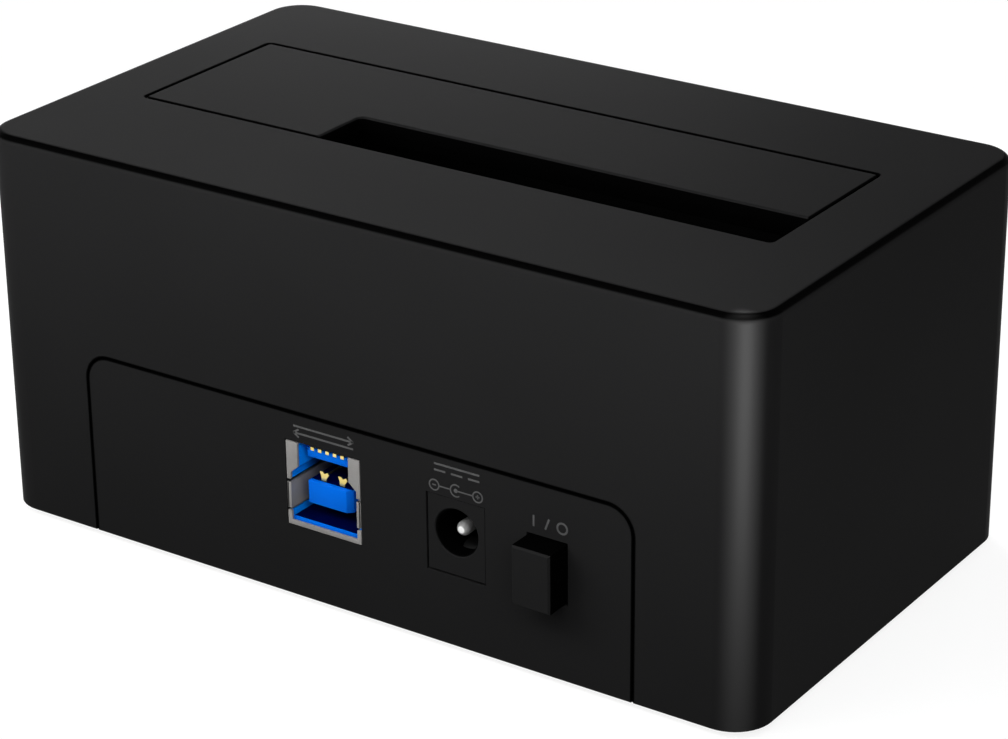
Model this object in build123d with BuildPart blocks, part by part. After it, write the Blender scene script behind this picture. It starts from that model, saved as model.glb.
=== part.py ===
from build123d import *
import os

# Hard drive docking station for one 3.5 inch or 2.5 inch drive.
# +X runs along its length, -Y faces the wall with the sockets, +Z is up.
# The origin is in the middle of its footprint, button included, on the surface it stands on.

os.makedirs("parts", exist_ok=True)

# Housing
housing_length = 125.0
housing_width = 71.5
housing_height = 57.2
corner_radius = 5.6
top_edge_radius = 1.2
shell_wall = 2.0
tray_gap = 0.2
seam_gap = 0.3
edge_break = 0.25
overrun = 1.0

# The slim drive that the slot takes, and the play that bay and slot leave a drive
slim_drive_width = 69.85
slim_drive_thickness = 9.5
drive_side_gap = 0.75
drive_face_gap = 0.4
slot_end_gap = 1.5

# Bay opening in the top, measured from the housing's sides: with these margins the bay
# takes a drive 101.6 wide and 26.1 thick
bay_left_margin = 10.25
bay_right_margin = 11.65
bay_near_margin = 23.15
bay_far_margin = 19.05
bay_corner_radius = 0.8

# Flap and its hinge
flap_thickness = 2.0
flap_gap = 0.4
flap_corner_radius = 0.5
notch_radius = 1.0
flap_rib_height = 1.6
flap_rib_thickness = 1.2
barrel_radius = 1.7
barrel_roof_gap = 0.3
barrel_back_gap = 0.5
pin_radius = 0.8
pin_play = 0.05
lug_thickness = 2.0
knuckle_width = 5.0
knuckle_reach = 5.0
hinge_side_gap = 0.2
hinge_end_inset = 13.55

# Torsion springs of the flap
flap_spring_wire = 0.4
flap_spring_turns = 4.5
flap_spring_pitch = 0.7
flap_spring_play = 0.25

# Bay liner
liner_wall = 1.6
liner_floor = 1.5
liner_offset = 0.2
liner_corner_radius = 1.0
drive_socket_depth = 4.6
ear_width = 9.0
ear_thickness = 2.0
ear_drop = 5.0
ear_screw_reach = 4.6
ear_spread = 70.0

# Port wall of the base tray, an arch in the housing's port side
panel_side_margin = 17.55
panel_height = 27.45
panel_corner_radius = 3.8
lip_thickness = 1.0
lip_overlap = 1.6
tray_floor = 2.0

# Vent slots in the tray's floor
vent_length = 14.0
vent_width = 2.0
vent_pitch = 5.0
vent_row_pitch = 20.0
vent_count = 11
vent_rows = 2

# Circuit board on its posts
board_thickness = 1.6
board_corner_radius = 1.5
board_near_gap = 0.25
board_left_margin = 12.5
board_right_margin = 10.5
board_far_margin = 6.0
post_height = 7.1
post_radius = 3.0
post_edge_inset = 5.0

# Screws: board, liner and base
screw_play = 0.1
board_screw_radius = 1.0
board_screw_head_radius = 2.2
board_screw_head_height = 1.3
board_screw_length = 5.0
liner_screw_radius = 1.0
liner_screw_head_radius = 2.1
liner_screw_head_height = 1.3
liner_screw_length = 6.5
base_screw_radius = 1.1
base_screw_head_radius = 2.2
base_screw_head_height = 0.9
base_screw_length = 9.0
head_recess_depth = 0.5
head_recess_width = 0.5
base_boss_radius = 3.4
base_boss_inset = 3.3
liner_boss_radius = 2.6

# Feet
foot_height = 1.0
foot_radius = 4.5
foot_recess_depth = 0.5
foot_play = 0.1
foot_edge_radius = 0.3
foot_side_inset = 17.5
foot_end_inset = 10.75

# Serial drive receptacle: one short and one long slot, each with a key at its end
receptacle_length = 43.0
receptacle_width = 6.0
receptacle_height = 8.1
receptacle_play = 0.4
receptacle_from_drive_side = 30.12
receptacle_from_drive_face = 3.5
blade_slot_depth = 5.4
blade_slot_width = 1.4
signal_slot_length = 11.0
power_slot_length = 21.0
slot_divider = 3.2
key_length = 1.2
key_width = 1.2
blade_pitch = 1.27
blade_width = 0.7
blade_thickness = 0.25
blade_height = 4.6
signal_blades = 7
power_blades = 15

# USB type B receptacle, standing on the board
usb_place_share = -0.0445
usb_width = 12.3
usb_height = 12.5
usb_depth = 18.0
usb_play = 0.15
usb_side_wall = 0.45
usb_floor_wall = 0.55
usb_roof_wall = 0.3
usb_flank = 1.9
usb_shoulder_drop = 3.6
usb_shoulder_rise = 1.1
usb_back_block = 8.0
usb_liner = 0.8
usb_liner_recess = 0.6
upper_tongue_width = 6.5
upper_tongue_height = 1.35
upper_tongue_drop = 0.4
upper_tongue_recess = 1.0
lower_tongue_width = 6.8
lower_tongue_height = 3.35
lower_tongue_drop = 5.9
lower_tongue_recess = 1.4
tongue_edge = 0.35
usb_contact_thickness = 0.2
upper_contact_count = 5
upper_contact_pitch = 1.25
upper_contact_width = 0.55
lower_contact_pitch = 3.1
lower_contact_width = 0.7
lower_contact_bend = 2.2
lower_contact_rise = 0.75
lower_contact_recess = 0.5

# DC power jack
jack_place_share = 0.1983
jack_width = 9.0
jack_height = 11.0
jack_depth = 14.0
jack_open_gap = 0.35
jack_close_gap = 0.08
jack_bore_radius = 3.25
jack_bore_depth = 9.5
jack_bore_rise = 6.2
jack_mouth = 0.3
jack_pin_radius = 1.0
jack_pin_recess = 1.0
jack_pin_tip = 0.8
jack_spring_width = 2.2
jack_spring_thickness = 0.3
jack_spring_bend = 4.0
jack_spring_rise = 1.1
jack_spring_recess = 2.5
jack_groove_depth = 0.7
jack_groove_play = 0.1
jack_tab_width = 2.0
jack_tab_thickness = 0.6
jack_tab_length = 3.2
jack_tab_pitch = 4.5
jack_tab_play = 0.15

# Power button and its switch
button_place_share = 0.3567
button_width = 5.85
button_height = 8.5
button_rise = 5.0
button_reach = 4.0
button_gap = 0.25
button_edge = 0.25
button_travel = 2.5
flange_margin = 0.8
flange_thickness = 1.0
flange_gap = 0.2
switch_width = 8.5
switch_height = 8.5
switch_depth = 10.0
switch_front_gap = 0.75
switch_front_wall = 1.0
switch_cavity = 5.0
switch_back_wall = 1.0
plunger_width = 3.0
plunger_play = 0.15
plunger_socket = 2.0
collar_width = 4.4
collar_thickness = 1.0
collar_gap = 0.1
guide_radius = 0.8
guide_length = 1.2
switch_spring_wire = 0.35
switch_spring_radius = 1.6
switch_spring_turns = 7.0
switch_pin_width = 0.6
switch_pin_thickness = 0.3
switch_pin_length = 3.2
switch_pin_pitch_x = 4.4
switch_pin_pitch_y = 2.5
switch_pin_rows = 3
switch_pin_play = 0.15

# Electronics on the board
bridge_chip_side = 9.0
bridge_chip_height = 1.0
bridge_chip_back = 12.0
flash_chip_length = 5.0
flash_chip_width = 4.0
flash_chip_height = 1.5
flash_chip_left = 15.0
crystal_length = 5.0
crystal_width = 3.2
crystal_height = 1.1
crystal_right = 11.0
chip_edge = 0.2
pin_mark_radius = 0.4
pin_mark_depth = 0.1
capacitor_radius = 3.15
capacitor_height = 7.7
capacitor_base = 6.6
capacitor_base_height = 1.2
capacitor_pitch = 9.0
capacitor_left = 26.0
capacitor_liner_gap = 1.0
capacitor_edge = 0.4
inductor_side = 6.8
inductor_height = 3.0
inductor_edge = 0.8
inductor_left = 13.0
inductor_pitch = 8.0
regulator_length = 6.5
regulator_width = 3.5
regulator_height = 1.7
regulator_tab_length = 3.0
regulator_tab_width = 1.8
regulator_tab_height = 0.4
regulator_pitch = 6.3
regulator_right = 7.2
regulator_screw_gap = 0.8
passive_length = 1.6
passive_width = 0.8
passive_height = 0.6
passive_pitch_x = 3.4
passive_pitch_y = 2.6
passive_columns = 8
passive_rows = 2
passive_left = 32.0

# Status light
led_length = 3.0
led_width = 2.0
led_height = 1.2
led_edge_gap = 0.6
light_pipe_radius = 1.5
light_pipe_rise = 4.0
light_pipe_gap = 0.4
light_pipe_flange = 0.8
light_pipe_flange_thickness = 1.0
light_pipe_foot_width = 2.4
light_pipe_foot_depth = 2.2

BASE = (Align.CENTER, Align.CENTER, Align.MIN)
TOP = (Align.CENTER, Align.CENTER, Align.MAX)

# Heights
z_bottom = foot_height
z_top = z_bottom + housing_height
z_roof = z_top - shell_wall
z_tray = z_bottom + tray_floor
z_board_low = z_tray + post_height
z_board = z_board_low + board_thickness
z_receptacle = z_board + receptacle_height
z_liner_floor = z_receptacle - drive_socket_depth
z_liner_low = z_liner_floor - liner_floor
z_ear = z_roof - ear_drop

# Faces of the housing; the button stands out of the port side, so the housing sits off centre
x_side = housing_length / 2
y_middle = button_reach / 2
y_port = y_middle - housing_width / 2
y_front = y_middle + housing_width / 2
y_port_inside = y_port + shell_wall
cavity_length = housing_length - 2 * shell_wall
cavity_width = housing_width - 2 * shell_wall
cavity_radius = corner_radius - shell_wall

# Bay opening and the slot that the flap leaves free
bay_left = -x_side + bay_left_margin
bay_right = x_side - bay_right_margin
bay_near = y_port + bay_near_margin
bay_far = y_front - bay_far_margin
bay_length = bay_right - bay_left
bay_width = bay_far - bay_near
bay_x = (bay_left + bay_right) / 2
bay_y = (bay_near + bay_far) / 2
slot_left = bay_right - drive_side_gap - slim_drive_width - slot_end_gap
slot_far = bay_near + 2 * drive_face_gap + slim_drive_thickness

# Flap outline and hinge line: open, the flap hangs straight down behind the drive
flap_left = bay_left + flap_gap
flap_right = bay_right - flap_gap
flap_near = bay_near + flap_gap
flap_far = bay_far - flap_gap
hinge_drop = barrel_radius + barrel_roof_gap
hinge_y = flap_far + hinge_drop
hinge_z = z_roof - hinge_drop
spring_coil_radius = pin_radius + flap_spring_play + flap_spring_wire / 2
spring_room = flap_spring_turns * flap_spring_pitch + flap_spring_wire
hinge_width = 2 * lug_thickness + knuckle_width + spring_room + 3 * hinge_side_gap
hinge_spread = bay_length - 2 * hinge_end_inset
hinge_lefts = [bay_x + side * hinge_spread / 2 - hinge_width / 2 for side in (-1, 1)]

# Liner faces
liner_left = bay_left - liner_offset
liner_right = bay_right + liner_offset
liner_near = bay_near - liner_offset
liner_far = hinge_y + barrel_radius + barrel_back_gap
liner_length = liner_right - liner_left
liner_width = liner_far - liner_near
liner_x = (liner_left + liner_right) / 2
liner_y = (liner_near + liner_far) / 2
ear_rows = [
    (liner_near - liner_wall, -1),
    (liner_far + liner_wall, 1),
]

# Port wall, and the places of its sockets and button along it
panel_width = housing_length - 2 * panel_side_margin
usb_x = usb_place_share * panel_width
jack_x = jack_place_share * panel_width
button_x = button_place_share * panel_width

# Board outline
y_lip_back = y_port_inside + tray_gap + lip_thickness
board_left = -x_side + board_left_margin
board_right = x_side - board_right_margin
board_near = y_lip_back + board_near_gap
board_far = y_front - board_far_margin
board_x = (board_left + board_right) / 2
board_y = (board_near + board_far) / 2
board_length = board_right - board_left
board_width = board_far - board_near
post_spread_x = board_length - 2 * post_edge_inset
post_spread_y = board_width - 2 * post_edge_inset

# Screw places
base_screw_x = cavity_length / 2 - base_boss_inset
base_screw_y = cavity_width / 2 - base_boss_inset
foot_x = x_side - foot_side_inset
foot_y = housing_width / 2 - foot_end_inset

# Receptacle place, set by the drive's own datum faces
receptacle_x = bay_right - drive_side_gap - receptacle_from_drive_side
receptacle_y = bay_near + drive_face_gap + receptacle_from_drive_face

# Button and switch places
button_z = z_board + button_rise
y_flange = y_port_inside + flange_gap
y_flange_back = y_flange + flange_thickness
y_switch = y_flange_back + button_travel + switch_front_gap
y_cavity = y_switch + switch_front_wall
y_collar = y_cavity + collar_gap
y_collar_back = y_collar + collar_thickness
y_switch_back = y_switch + switch_depth
y_cavity_back = y_switch_back - switch_back_wall

# Jack places
jack_z = z_board + jack_bore_rise
y_jack_bore = y_port + jack_bore_depth
y_jack_back = y_port + jack_depth


def upright_block(length, width, radius, low, high, at=(0, y_middle), mode=Mode.ADD):
    """Block with rounded upright corners, between two heights."""
    with BuildSketch(Plane.XY.offset(low)) as outline:
        with Locations(at):
            RectangleRounded(length, width, radius)
    extrude(outline.sketch, amount=high - low, mode=mode)


def block(x_range, y_range, z_range, mode=Mode.ADD):
    """Plain block between two places on each axis."""
    spans = [high - low for low, high in (x_range, y_range, z_range)]
    centre = [(low + high) / 2 for low, high in (x_range, y_range, z_range)]
    with Locations(tuple(centre)):
        Box(*spans, mode=mode)


def arch_slab(width, height, radius, y_range, mode=Mode.ADD, low=z_bottom):
    """Upright slab with two rounded top corners, between two Y places."""
    with BuildSketch(Plane.XZ.offset(-y_range[0])) as outline:
        with Locations((0, low)):
            Rectangle(width, height, align=(Align.CENTER, Align.MIN))
        fillet(outline.vertices().group_by(Axis.Y)[-1], radius)
    extrude(outline.sketch, amount=y_range[0] - y_range[1], mode=mode)


def bored_round(radius, centre, x_range, mode=Mode.ADD):
    """Round bar or hole along X, around a point in Y and Z."""
    with BuildSketch(Plane.YZ.offset(x_range[0])) as outline:
        with Locations(centre):
            Circle(radius)
    extrude(outline.sketch, amount=x_range[1] - x_range[0], mode=mode)


def round_along_y(radius, centre, y_range, mode=Mode.ADD):
    """Round bar or hole along Y, around a point in X and Z."""
    with BuildSketch(Plane.XZ.offset(-y_range[0])) as outline:
        with Locations(centre):
            Circle(radius)
    extrude(outline.sketch, amount=y_range[0] - y_range[1], mode=mode)


def bent_contact(x_centre, width, y_tip, z_seat, length, thickness, bend, rise, up=1):
    """Sprung contact strip along Y with an arched tip, lying on a seat at z_seat."""
    with BuildSketch(Plane.YZ.offset(x_centre - width / 2)) as side:
        with BuildLine():
            ThreePointArc(
                (y_tip, z_seat),
                (y_tip + bend / 2, z_seat + up * rise),
                (y_tip + bend, z_seat + up * thickness),
            )
            Polyline(
                (y_tip + bend, z_seat + up * thickness),
                (y_tip + length, z_seat + up * thickness),
                (y_tip + length, z_seat),
                (y_tip + bend, z_seat),
            )
            ThreePointArc(
                (y_tip + bend, z_seat),
                (y_tip + bend / 2, z_seat + up * (rise - thickness)),
                (y_tip + thickness, z_seat),
            )
            Line((y_tip + thickness, z_seat), (y_tip, z_seat))
        make_face()
    extrude(side.sketch, amount=width)


def pan_screw(shank_radius, shank_length, head_radius, head_height):
    """Screw whose head sits on z = 0 and whose shank hangs below, in the present locations."""
    Cylinder(head_radius, head_height, align=BASE)
    Cylinder(shank_radius, shank_length, align=TOP)
    with Locations((0, 0, head_height)):
        for spans in (
            (2 * shank_radius, head_recess_width),
            (head_recess_width, 2 * shank_radius),
        ):
            Box(*spans, head_recess_depth, align=TOP, mode=Mode.SUBTRACT)


# Top shell: the whole outer cover, open below
with BuildPart() as top_shell:
    upright_block(housing_length, housing_width, corner_radius, z_bottom, z_top)
    fillet(top_shell.faces().sort_by(Axis.Z)[-1].edges(), top_edge_radius)
    upright_block(
        cavity_length, cavity_width, cavity_radius, z_bottom, z_roof, mode=Mode.SUBTRACT
    )
    upright_block(
        bay_length,
        bay_width,
        bay_corner_radius,
        z_roof,
        z_top,
        at=(bay_x, bay_y),
        mode=Mode.SUBTRACT,
    )
    fillet(top_shell.faces().sort_by(Axis.Z)[-1].inner_wires()[0].edges(), edge_break)
    arch_slab(
        panel_width + 2 * seam_gap,
        panel_height + seam_gap + overrun,
        panel_corner_radius + seam_gap,
        (y_port, y_port_inside),
        mode=Mode.SUBTRACT,
        low=z_bottom - overrun,
    )
    with Locations((0, y_middle, z_tray)):
        with GridLocations(2 * base_screw_x, 2 * base_screw_y, 2, 2):
            Cylinder(base_boss_radius, z_roof - z_tray, align=BASE)
            Cylinder(
                base_screw_radius + screw_play,
                base_screw_length,
                align=BASE,
                mode=Mode.SUBTRACT,
            )
    for wall_face, outwards in ear_rows:
        with Locations((0, wall_face + outwards * ear_screw_reach, z_ear)):
            with GridLocations(ear_spread, 0, 2, 1):
                Cylinder(liner_boss_radius, z_roof - z_ear, align=BASE)
                Cylinder(
                    liner_screw_radius + screw_play,
                    liner_screw_length - ear_thickness + overrun / 2,
                    align=BASE,
                    mode=Mode.SUBTRACT,
                )
    round_along_y(
        light_pipe_radius,
        (0, z_board + light_pipe_rise),
        (y_front - shell_wall, y_front),
        mode=Mode.SUBTRACT,
    )
top_shell.part.label = "top_shell"
export_step(top_shell.part, "parts/top_shell.step")

# Flap: an L in plan, which leaves the slim drive's slot free
with BuildPart() as flap:
    with BuildSketch(Plane.XY.offset(z_top - flap_thickness)) as flap_outline:
        with BuildLine():
            Polyline(
                (flap_left, flap_near),
                (slot_left, flap_near),
                (slot_left, slot_far),
                (flap_right, slot_far),
                (flap_right, flap_far),
                (flap_left, flap_far),
                close=True,
            )
        make_face()
        notch_corner = flap_outline.vertices().sort_by_distance((slot_left, slot_far))[0]
        fillet(notch_corner, notch_radius)
        sharp_corners = flap_outline.vertices().filter_by(
            lambda v: min(abs(v.X - flap_left), abs(v.X - flap_right)) < seam_gap
            or abs(v.Y - flap_near) < seam_gap
        )
        fillet(sharp_corners, flap_corner_radius)
    extrude(amount=flap_thickness)
    fillet(flap.faces().sort_by(Axis.Z)[-1].edges(), edge_break)
    rib_top = z_top - flap_thickness
    rib_far = flap_far - knuckle_reach
    block(
        (flap_left + flap_gap, flap_right - flap_gap),
        (rib_far - flap_rib_thickness, rib_far),
        (rib_top - flap_rib_height, rib_top),
    )
    block(
        (flap_left + flap_gap, slot_left - flap_rib_thickness),
        (flap_near + flap_gap, flap_near + flap_gap + flap_rib_thickness),
        (rib_top - flap_rib_height, rib_top),
    )
    block(
        (slot_left, flap_right - flap_gap),
        (slot_far + flap_gap, slot_far + flap_gap + flap_rib_thickness),
        (rib_top - flap_rib_height, rib_top),
    )
    block(
        (slot_left - 2 * flap_rib_thickness, slot_left - flap_rib_thickness),
        (flap_near + flap_gap, rib_far),
        (rib_top - flap_rib_height, rib_top),
    )
    for hinge_left in hinge_lefts:
        knuckle_left = hinge_left + lug_thickness + hinge_side_gap
        knuckle_span = (knuckle_left, knuckle_left + knuckle_width)
        with BuildSketch(Plane.YZ.offset(knuckle_left)) as arm:
            with BuildLine():
                Polyline(
                    (flap_far - knuckle_reach, rib_top),
                    (flap_far, rib_top),
                    (hinge_y, hinge_z + barrel_radius),
                    (hinge_y, hinge_z - barrel_radius),
                    close=True,
                )
            make_face()
            with Locations((hinge_y, hinge_z)):
                Circle(barrel_radius)
        extrude(arm.sketch, amount=knuckle_width)
        bored_round(
            pin_radius + pin_play, (hinge_y, hinge_z), knuckle_span, mode=Mode.SUBTRACT
        )
flap.part.label = "flap"
export_step(flap.part, "parts/flap.step")

# Bay liner: the box that guides the drive down on to the receptacle
with BuildPart() as bay_liner:
    upright_block(
        liner_length + 2 * liner_wall,
        liner_width + 2 * liner_wall,
        liner_corner_radius + liner_wall,
        z_liner_low,
        z_roof,
        at=(liner_x, liner_y),
    )
    upright_block(
        liner_length,
        liner_width,
        liner_corner_radius,
        z_liner_floor,
        z_roof,
        at=(liner_x, liner_y),
        mode=Mode.SUBTRACT,
    )
    with Locations((receptacle_x, receptacle_y, z_liner_low)):
        Box(
            receptacle_length + 2 * receptacle_play,
            receptacle_width + 2 * receptacle_play,
            liner_floor,
            align=BASE,
            mode=Mode.SUBTRACT,
        )
    for wall_face, outwards in ear_rows:
        ear_reach = ear_screw_reach + ear_width / 2
        with Locations((0, wall_face + outwards * ear_reach / 2, z_ear)):
            with GridLocations(ear_spread, 0, 2, 1):
                Box(ear_width, ear_reach, ear_thickness, align=TOP)
        with Locations((0, wall_face + outwards * ear_screw_reach, z_ear)):
            with GridLocations(ear_spread, 0, 2, 1):
                Cylinder(
                    liner_screw_radius + screw_play,
                    ear_thickness,
                    align=TOP,
                    mode=Mode.SUBTRACT,
                )
    for hinge_left in hinge_lefts:
        for lug_left in (hinge_left, hinge_left + hinge_width - lug_thickness):
            lug_span = (lug_left, lug_left + lug_thickness)
            bored_round(barrel_radius, (hinge_y, hinge_z), lug_span)
            block(
                lug_span,
                (hinge_y, liner_far),
                (hinge_z - barrel_radius, hinge_z + barrel_radius),
            )
            bored_round(pin_radius, (hinge_y, hinge_z), lug_span, mode=Mode.SUBTRACT)
bay_liner.part.label = "bay_liner"
export_step(bay_liner.part, "parts/bay_liner.step")

# Hinge pins, held in the liner's lugs and free in the flap's knuckles
with BuildPart() as hinge_pins:
    for hinge_left in hinge_lefts:
        bored_round(
            pin_radius, (hinge_y, hinge_z), (hinge_left, hinge_left + hinge_width)
        )
hinge_pins.part.label = "hinge_pins"
export_step(hinge_pins.part, "parts/hinge_pins.step")

# Torsion springs that close the flap, one beside each knuckle
with BuildPart() as flap_springs:
    for hinge_left in hinge_lefts:
        coil_start = (
            hinge_left
            + lug_thickness
            + knuckle_width
            + 2 * hinge_side_gap
            + flap_spring_wire / 2
        )
        with BuildLine() as coil_path:
            Helix(
                flap_spring_pitch,
                flap_spring_turns * flap_spring_pitch,
                spring_coil_radius,
                center=(coil_start, hinge_y, hinge_z),
                direction=(1, 0, 0),
            )
        with BuildSketch(
            Plane(origin=coil_path.line @ 0, z_dir=coil_path.line % 0)
        ) as coil_section:
            Circle(flap_spring_wire / 2)
        sweep(coil_section.sketch, path=coil_path.line, is_frenet=True)
flap_springs.part.label = "flap_springs"
export_step(flap_springs.part, "parts/flap_springs.step")

# Base tray: floor plate, arched port wall, posts for the board
with BuildPart() as base_tray:
    upright_block(
        cavity_length - 2 * tray_gap,
        cavity_width - 2 * tray_gap,
        cavity_radius - tray_gap,
        z_bottom,
        z_tray,
    )
    arch_slab(panel_width, panel_height, panel_corner_radius, (y_port, y_lip_back))
    arch_slab(
        panel_width + 2 * lip_overlap,
        panel_height + lip_overlap,
        panel_corner_radius + lip_overlap,
        (y_lip_back - lip_thickness, y_lip_back),
    )
    arch_slab(
        panel_width - 2 * lip_overlap,
        panel_height - lip_overlap - tray_floor,
        panel_corner_radius,
        (y_port_inside, y_lip_back),
        mode=Mode.SUBTRACT,
        low=z_tray,
    )
    block(
        (usb_x - usb_width / 2 - usb_play, usb_x + usb_width / 2 + usb_play),
        (y_port, y_port_inside),
        (z_board - usb_play, z_board + usb_height + usb_play),
        mode=Mode.SUBTRACT,
    )
    block(
        (jack_x - jack_width / 2 - jack_open_gap, jack_x + jack_width / 2 + jack_close_gap),
        (y_port, y_port_inside),
        (z_board - jack_open_gap, z_board + jack_height + jack_close_gap),
        mode=Mode.SUBTRACT,
    )
    block(
        (button_x - button_width / 2 - button_gap, button_x + button_width / 2 + button_gap),
        (y_port, y_port_inside),
        (button_z - button_height / 2 - button_gap, button_z + button_height / 2 + button_gap),
        mode=Mode.SUBTRACT,
    )
    with Locations((board_x, board_y, z_tray)):
        with GridLocations(post_spread_x, post_spread_y, 2, 2):
            Cylinder(post_radius, post_height, align=BASE)
    with Locations((board_x, board_y, z_board_low)):
        with GridLocations(post_spread_x, post_spread_y, 2, 2):
            Cylinder(
                board_screw_radius + screw_play,
                board_screw_length - board_thickness + overrun,
                align=TOP,
                mode=Mode.SUBTRACT,
            )
    with Locations((0, y_middle, z_bottom)):
        with GridLocations(2 * base_screw_x, 2 * base_screw_y, 2, 2):
            Cylinder(
                base_screw_radius + screw_play, tray_floor, align=BASE, mode=Mode.SUBTRACT
            )
            Cylinder(
                base_screw_head_radius + screw_play,
                base_screw_head_height,
                align=BASE,
                mode=Mode.SUBTRACT,
            )
        with GridLocations(2 * foot_x, 2 * foot_y, 2, 2):
            Cylinder(
                foot_radius + foot_play, foot_recess_depth, align=BASE, mode=Mode.SUBTRACT
            )
    with BuildSketch(Plane.XY.offset(z_bottom)) as vents:
        with Locations((0, y_middle)):
            with GridLocations(vent_pitch, vent_row_pitch, vent_count, vent_rows):
                SlotOverall(vent_length, vent_width, rotation=90)
    extrude(vents.sketch, amount=tray_floor, mode=Mode.SUBTRACT)
base_tray.part.label = "base_tray"
export_step(base_tray.part, "parts/base_tray.step")

# Feet, stuck in shallow recesses under the tray
with BuildPart() as rubber_feet:
    with Locations((0, y_middle, 0)):
        with GridLocations(2 * foot_x, 2 * foot_y, 2, 2):
            Cylinder(foot_radius, foot_height + foot_recess_depth, align=BASE)
    fillet(rubber_feet.edges().group_by(Axis.Z)[0], foot_edge_radius)
rubber_feet.part.label = "rubber_feet"
export_step(rubber_feet.part, "parts/rubber_feet.step")

# Circuit board
with BuildPart() as main_board:
    upright_block(
        board_length,
        board_width,
        board_corner_radius,
        z_board_low,
        z_board,
        at=(board_x, board_y),
    )
    with Locations((board_x, board_y, z_board_low)):
        with GridLocations(post_spread_x, post_spread_y, 2, 2):
            Cylinder(
                board_screw_radius + screw_play,
                board_thickness,
                align=BASE,
                mode=Mode.SUBTRACT,
            )
    with Locations((button_x, (y_switch + y_switch_back) / 2, z_board_low)):
        with GridLocations(switch_pin_pitch_x, switch_pin_pitch_y, 2, switch_pin_rows):
            Box(
                switch_pin_width + 2 * switch_pin_play,
                switch_pin_thickness + 2 * switch_pin_play,
                board_thickness,
                align=BASE,
                mode=Mode.SUBTRACT,
            )
    with Locations((jack_x, y_jack_back - jack_tab_pitch, z_board_low)):
        with GridLocations(0, jack_tab_pitch, 1, 2):
            Box(
                jack_tab_width + 2 * jack_tab_play,
                jack_tab_thickness + 2 * jack_tab_play,
                board_thickness,
                align=BASE,
                mode=Mode.SUBTRACT,
            )
main_board.part.label = "main_board"
export_step(main_board.part, "parts/main_board.step")

# Screws that hold the board on its posts
with BuildPart() as board_screws:
    with Locations((board_x, board_y, z_board)):
        with GridLocations(post_spread_x, post_spread_y, 2, 2):
            pan_screw(
                board_screw_radius,
                board_screw_length,
                board_screw_head_radius,
                board_screw_head_height,
            )
board_screws.part.label = "board_screws"
export_step(board_screws.part, "parts/board_screws.step")

# Screws that hang the liner from the shell's roof, driven from below
with BuildPart() as liner_screws:
    for wall_face, outwards in ear_rows:
        with Locations(
            Location(
                (0, wall_face + outwards * ear_screw_reach, z_ear - ear_thickness),
                (180, 0, 0),
            )
        ):
            with GridLocations(ear_spread, 0, 2, 1):
                pan_screw(
                    liner_screw_radius,
                    liner_screw_length,
                    liner_screw_head_radius,
                    liner_screw_head_height,
                )
liner_screws.part.label = "liner_screws"
export_step(liner_screws.part, "parts/liner_screws.step")

# Screws that close the housing from below
with BuildPart() as base_screws:
    with Locations(
        Location((0, y_middle, z_bottom + base_screw_head_height), (180, 0, 0))
    ):
        with GridLocations(2 * base_screw_x, 2 * base_screw_y, 2, 2):
            pan_screw(
                base_screw_radius,
                base_screw_length,
                base_screw_head_radius,
                base_screw_head_height,
            )
base_screws.part.label = "base_screws"
export_step(base_screws.part, "parts/base_screws.step")

# Drive receptacle: the long slot takes the power blades, the short one the signal blades
slots_length = signal_slot_length + slot_divider + power_slot_length
signal_x = receptacle_x + slots_length / 2 - signal_slot_length / 2
power_x = receptacle_x - slots_length / 2 + power_slot_length / 2
with BuildPart() as sata_receptacle:
    with Locations((receptacle_x, receptacle_y, z_board)):
        Box(receptacle_length, receptacle_width, receptacle_height, align=BASE)
    chamfer(
        sata_receptacle.faces().sort_by(Axis.Z)[-1].edges().filter_by(Axis.X), edge_break
    )
    for slot_x, slot_length in (
        (signal_x, signal_slot_length),
        (power_x, power_slot_length),
    ):
        with Locations((slot_x, receptacle_y, z_receptacle)):
            Box(
                slot_length,
                blade_slot_width,
                blade_slot_depth,
                align=TOP,
                mode=Mode.SUBTRACT,
            )
        with Locations(
            (
                slot_x - slot_length / 2 + key_length / 2,
                receptacle_y + blade_slot_width / 2 + key_width / 2,
                z_receptacle,
            )
        ):
            Box(key_length, key_width, blade_slot_depth, align=TOP, mode=Mode.SUBTRACT)
sata_receptacle.part.label = "sata_receptacle"
export_step(sata_receptacle.part, "parts/sata_receptacle.step")

# Its contact blades, along the near wall of each slot
with BuildPart() as sata_contacts:
    for slot_x, blades in ((signal_x, signal_blades), (power_x, power_blades)):
        blade_y = receptacle_y - blade_slot_width / 2 + blade_thickness / 2
        with Locations((slot_x, blade_y, z_receptacle - blade_slot_depth)):
            with GridLocations(blade_pitch, 0, blades, 1):
                Box(blade_width, blade_thickness, blade_height, align=BASE)
sata_contacts.part.label = "sata_contacts"
export_step(sata_contacts.part, "parts/sata_contacts.step")

# USB receptacle: folded metal shell
z_usb = z_board + usb_height
z_shoulder = z_usb - usb_shoulder_drop
half_throat = usb_width / 2 - usb_flank
half_room = usb_width / 2 - usb_side_wall
usb_cavity = [
    (usb_x - half_room, z_board + usb_floor_wall),
    (usb_x + half_room, z_board + usb_floor_wall),
    (usb_x + half_room, z_shoulder - usb_shoulder_rise),
    (usb_x + half_throat, z_shoulder),
    (usb_x + half_throat, z_usb - usb_roof_wall),
    (usb_x - half_throat, z_usb - usb_roof_wall),
    (usb_x - half_throat, z_shoulder),
    (usb_x - half_room, z_shoulder - usb_shoulder_rise),
]
y_usb_back = y_port + usb_depth
y_usb_block = y_usb_back - usb_back_block
with BuildPart() as usb_shell:
    block(
        (usb_x - usb_width / 2, usb_x + usb_width / 2),
        (y_port, y_usb_back),
        (z_board, z_usb),
    )
    with BuildSketch(Plane.XZ.offset(-y_port)) as usb_throat:
        with BuildLine():
            Polyline(*usb_cavity, close=True)
        make_face()
    extrude(usb_throat.sketch, amount=-usb_depth, mode=Mode.SUBTRACT)
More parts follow.
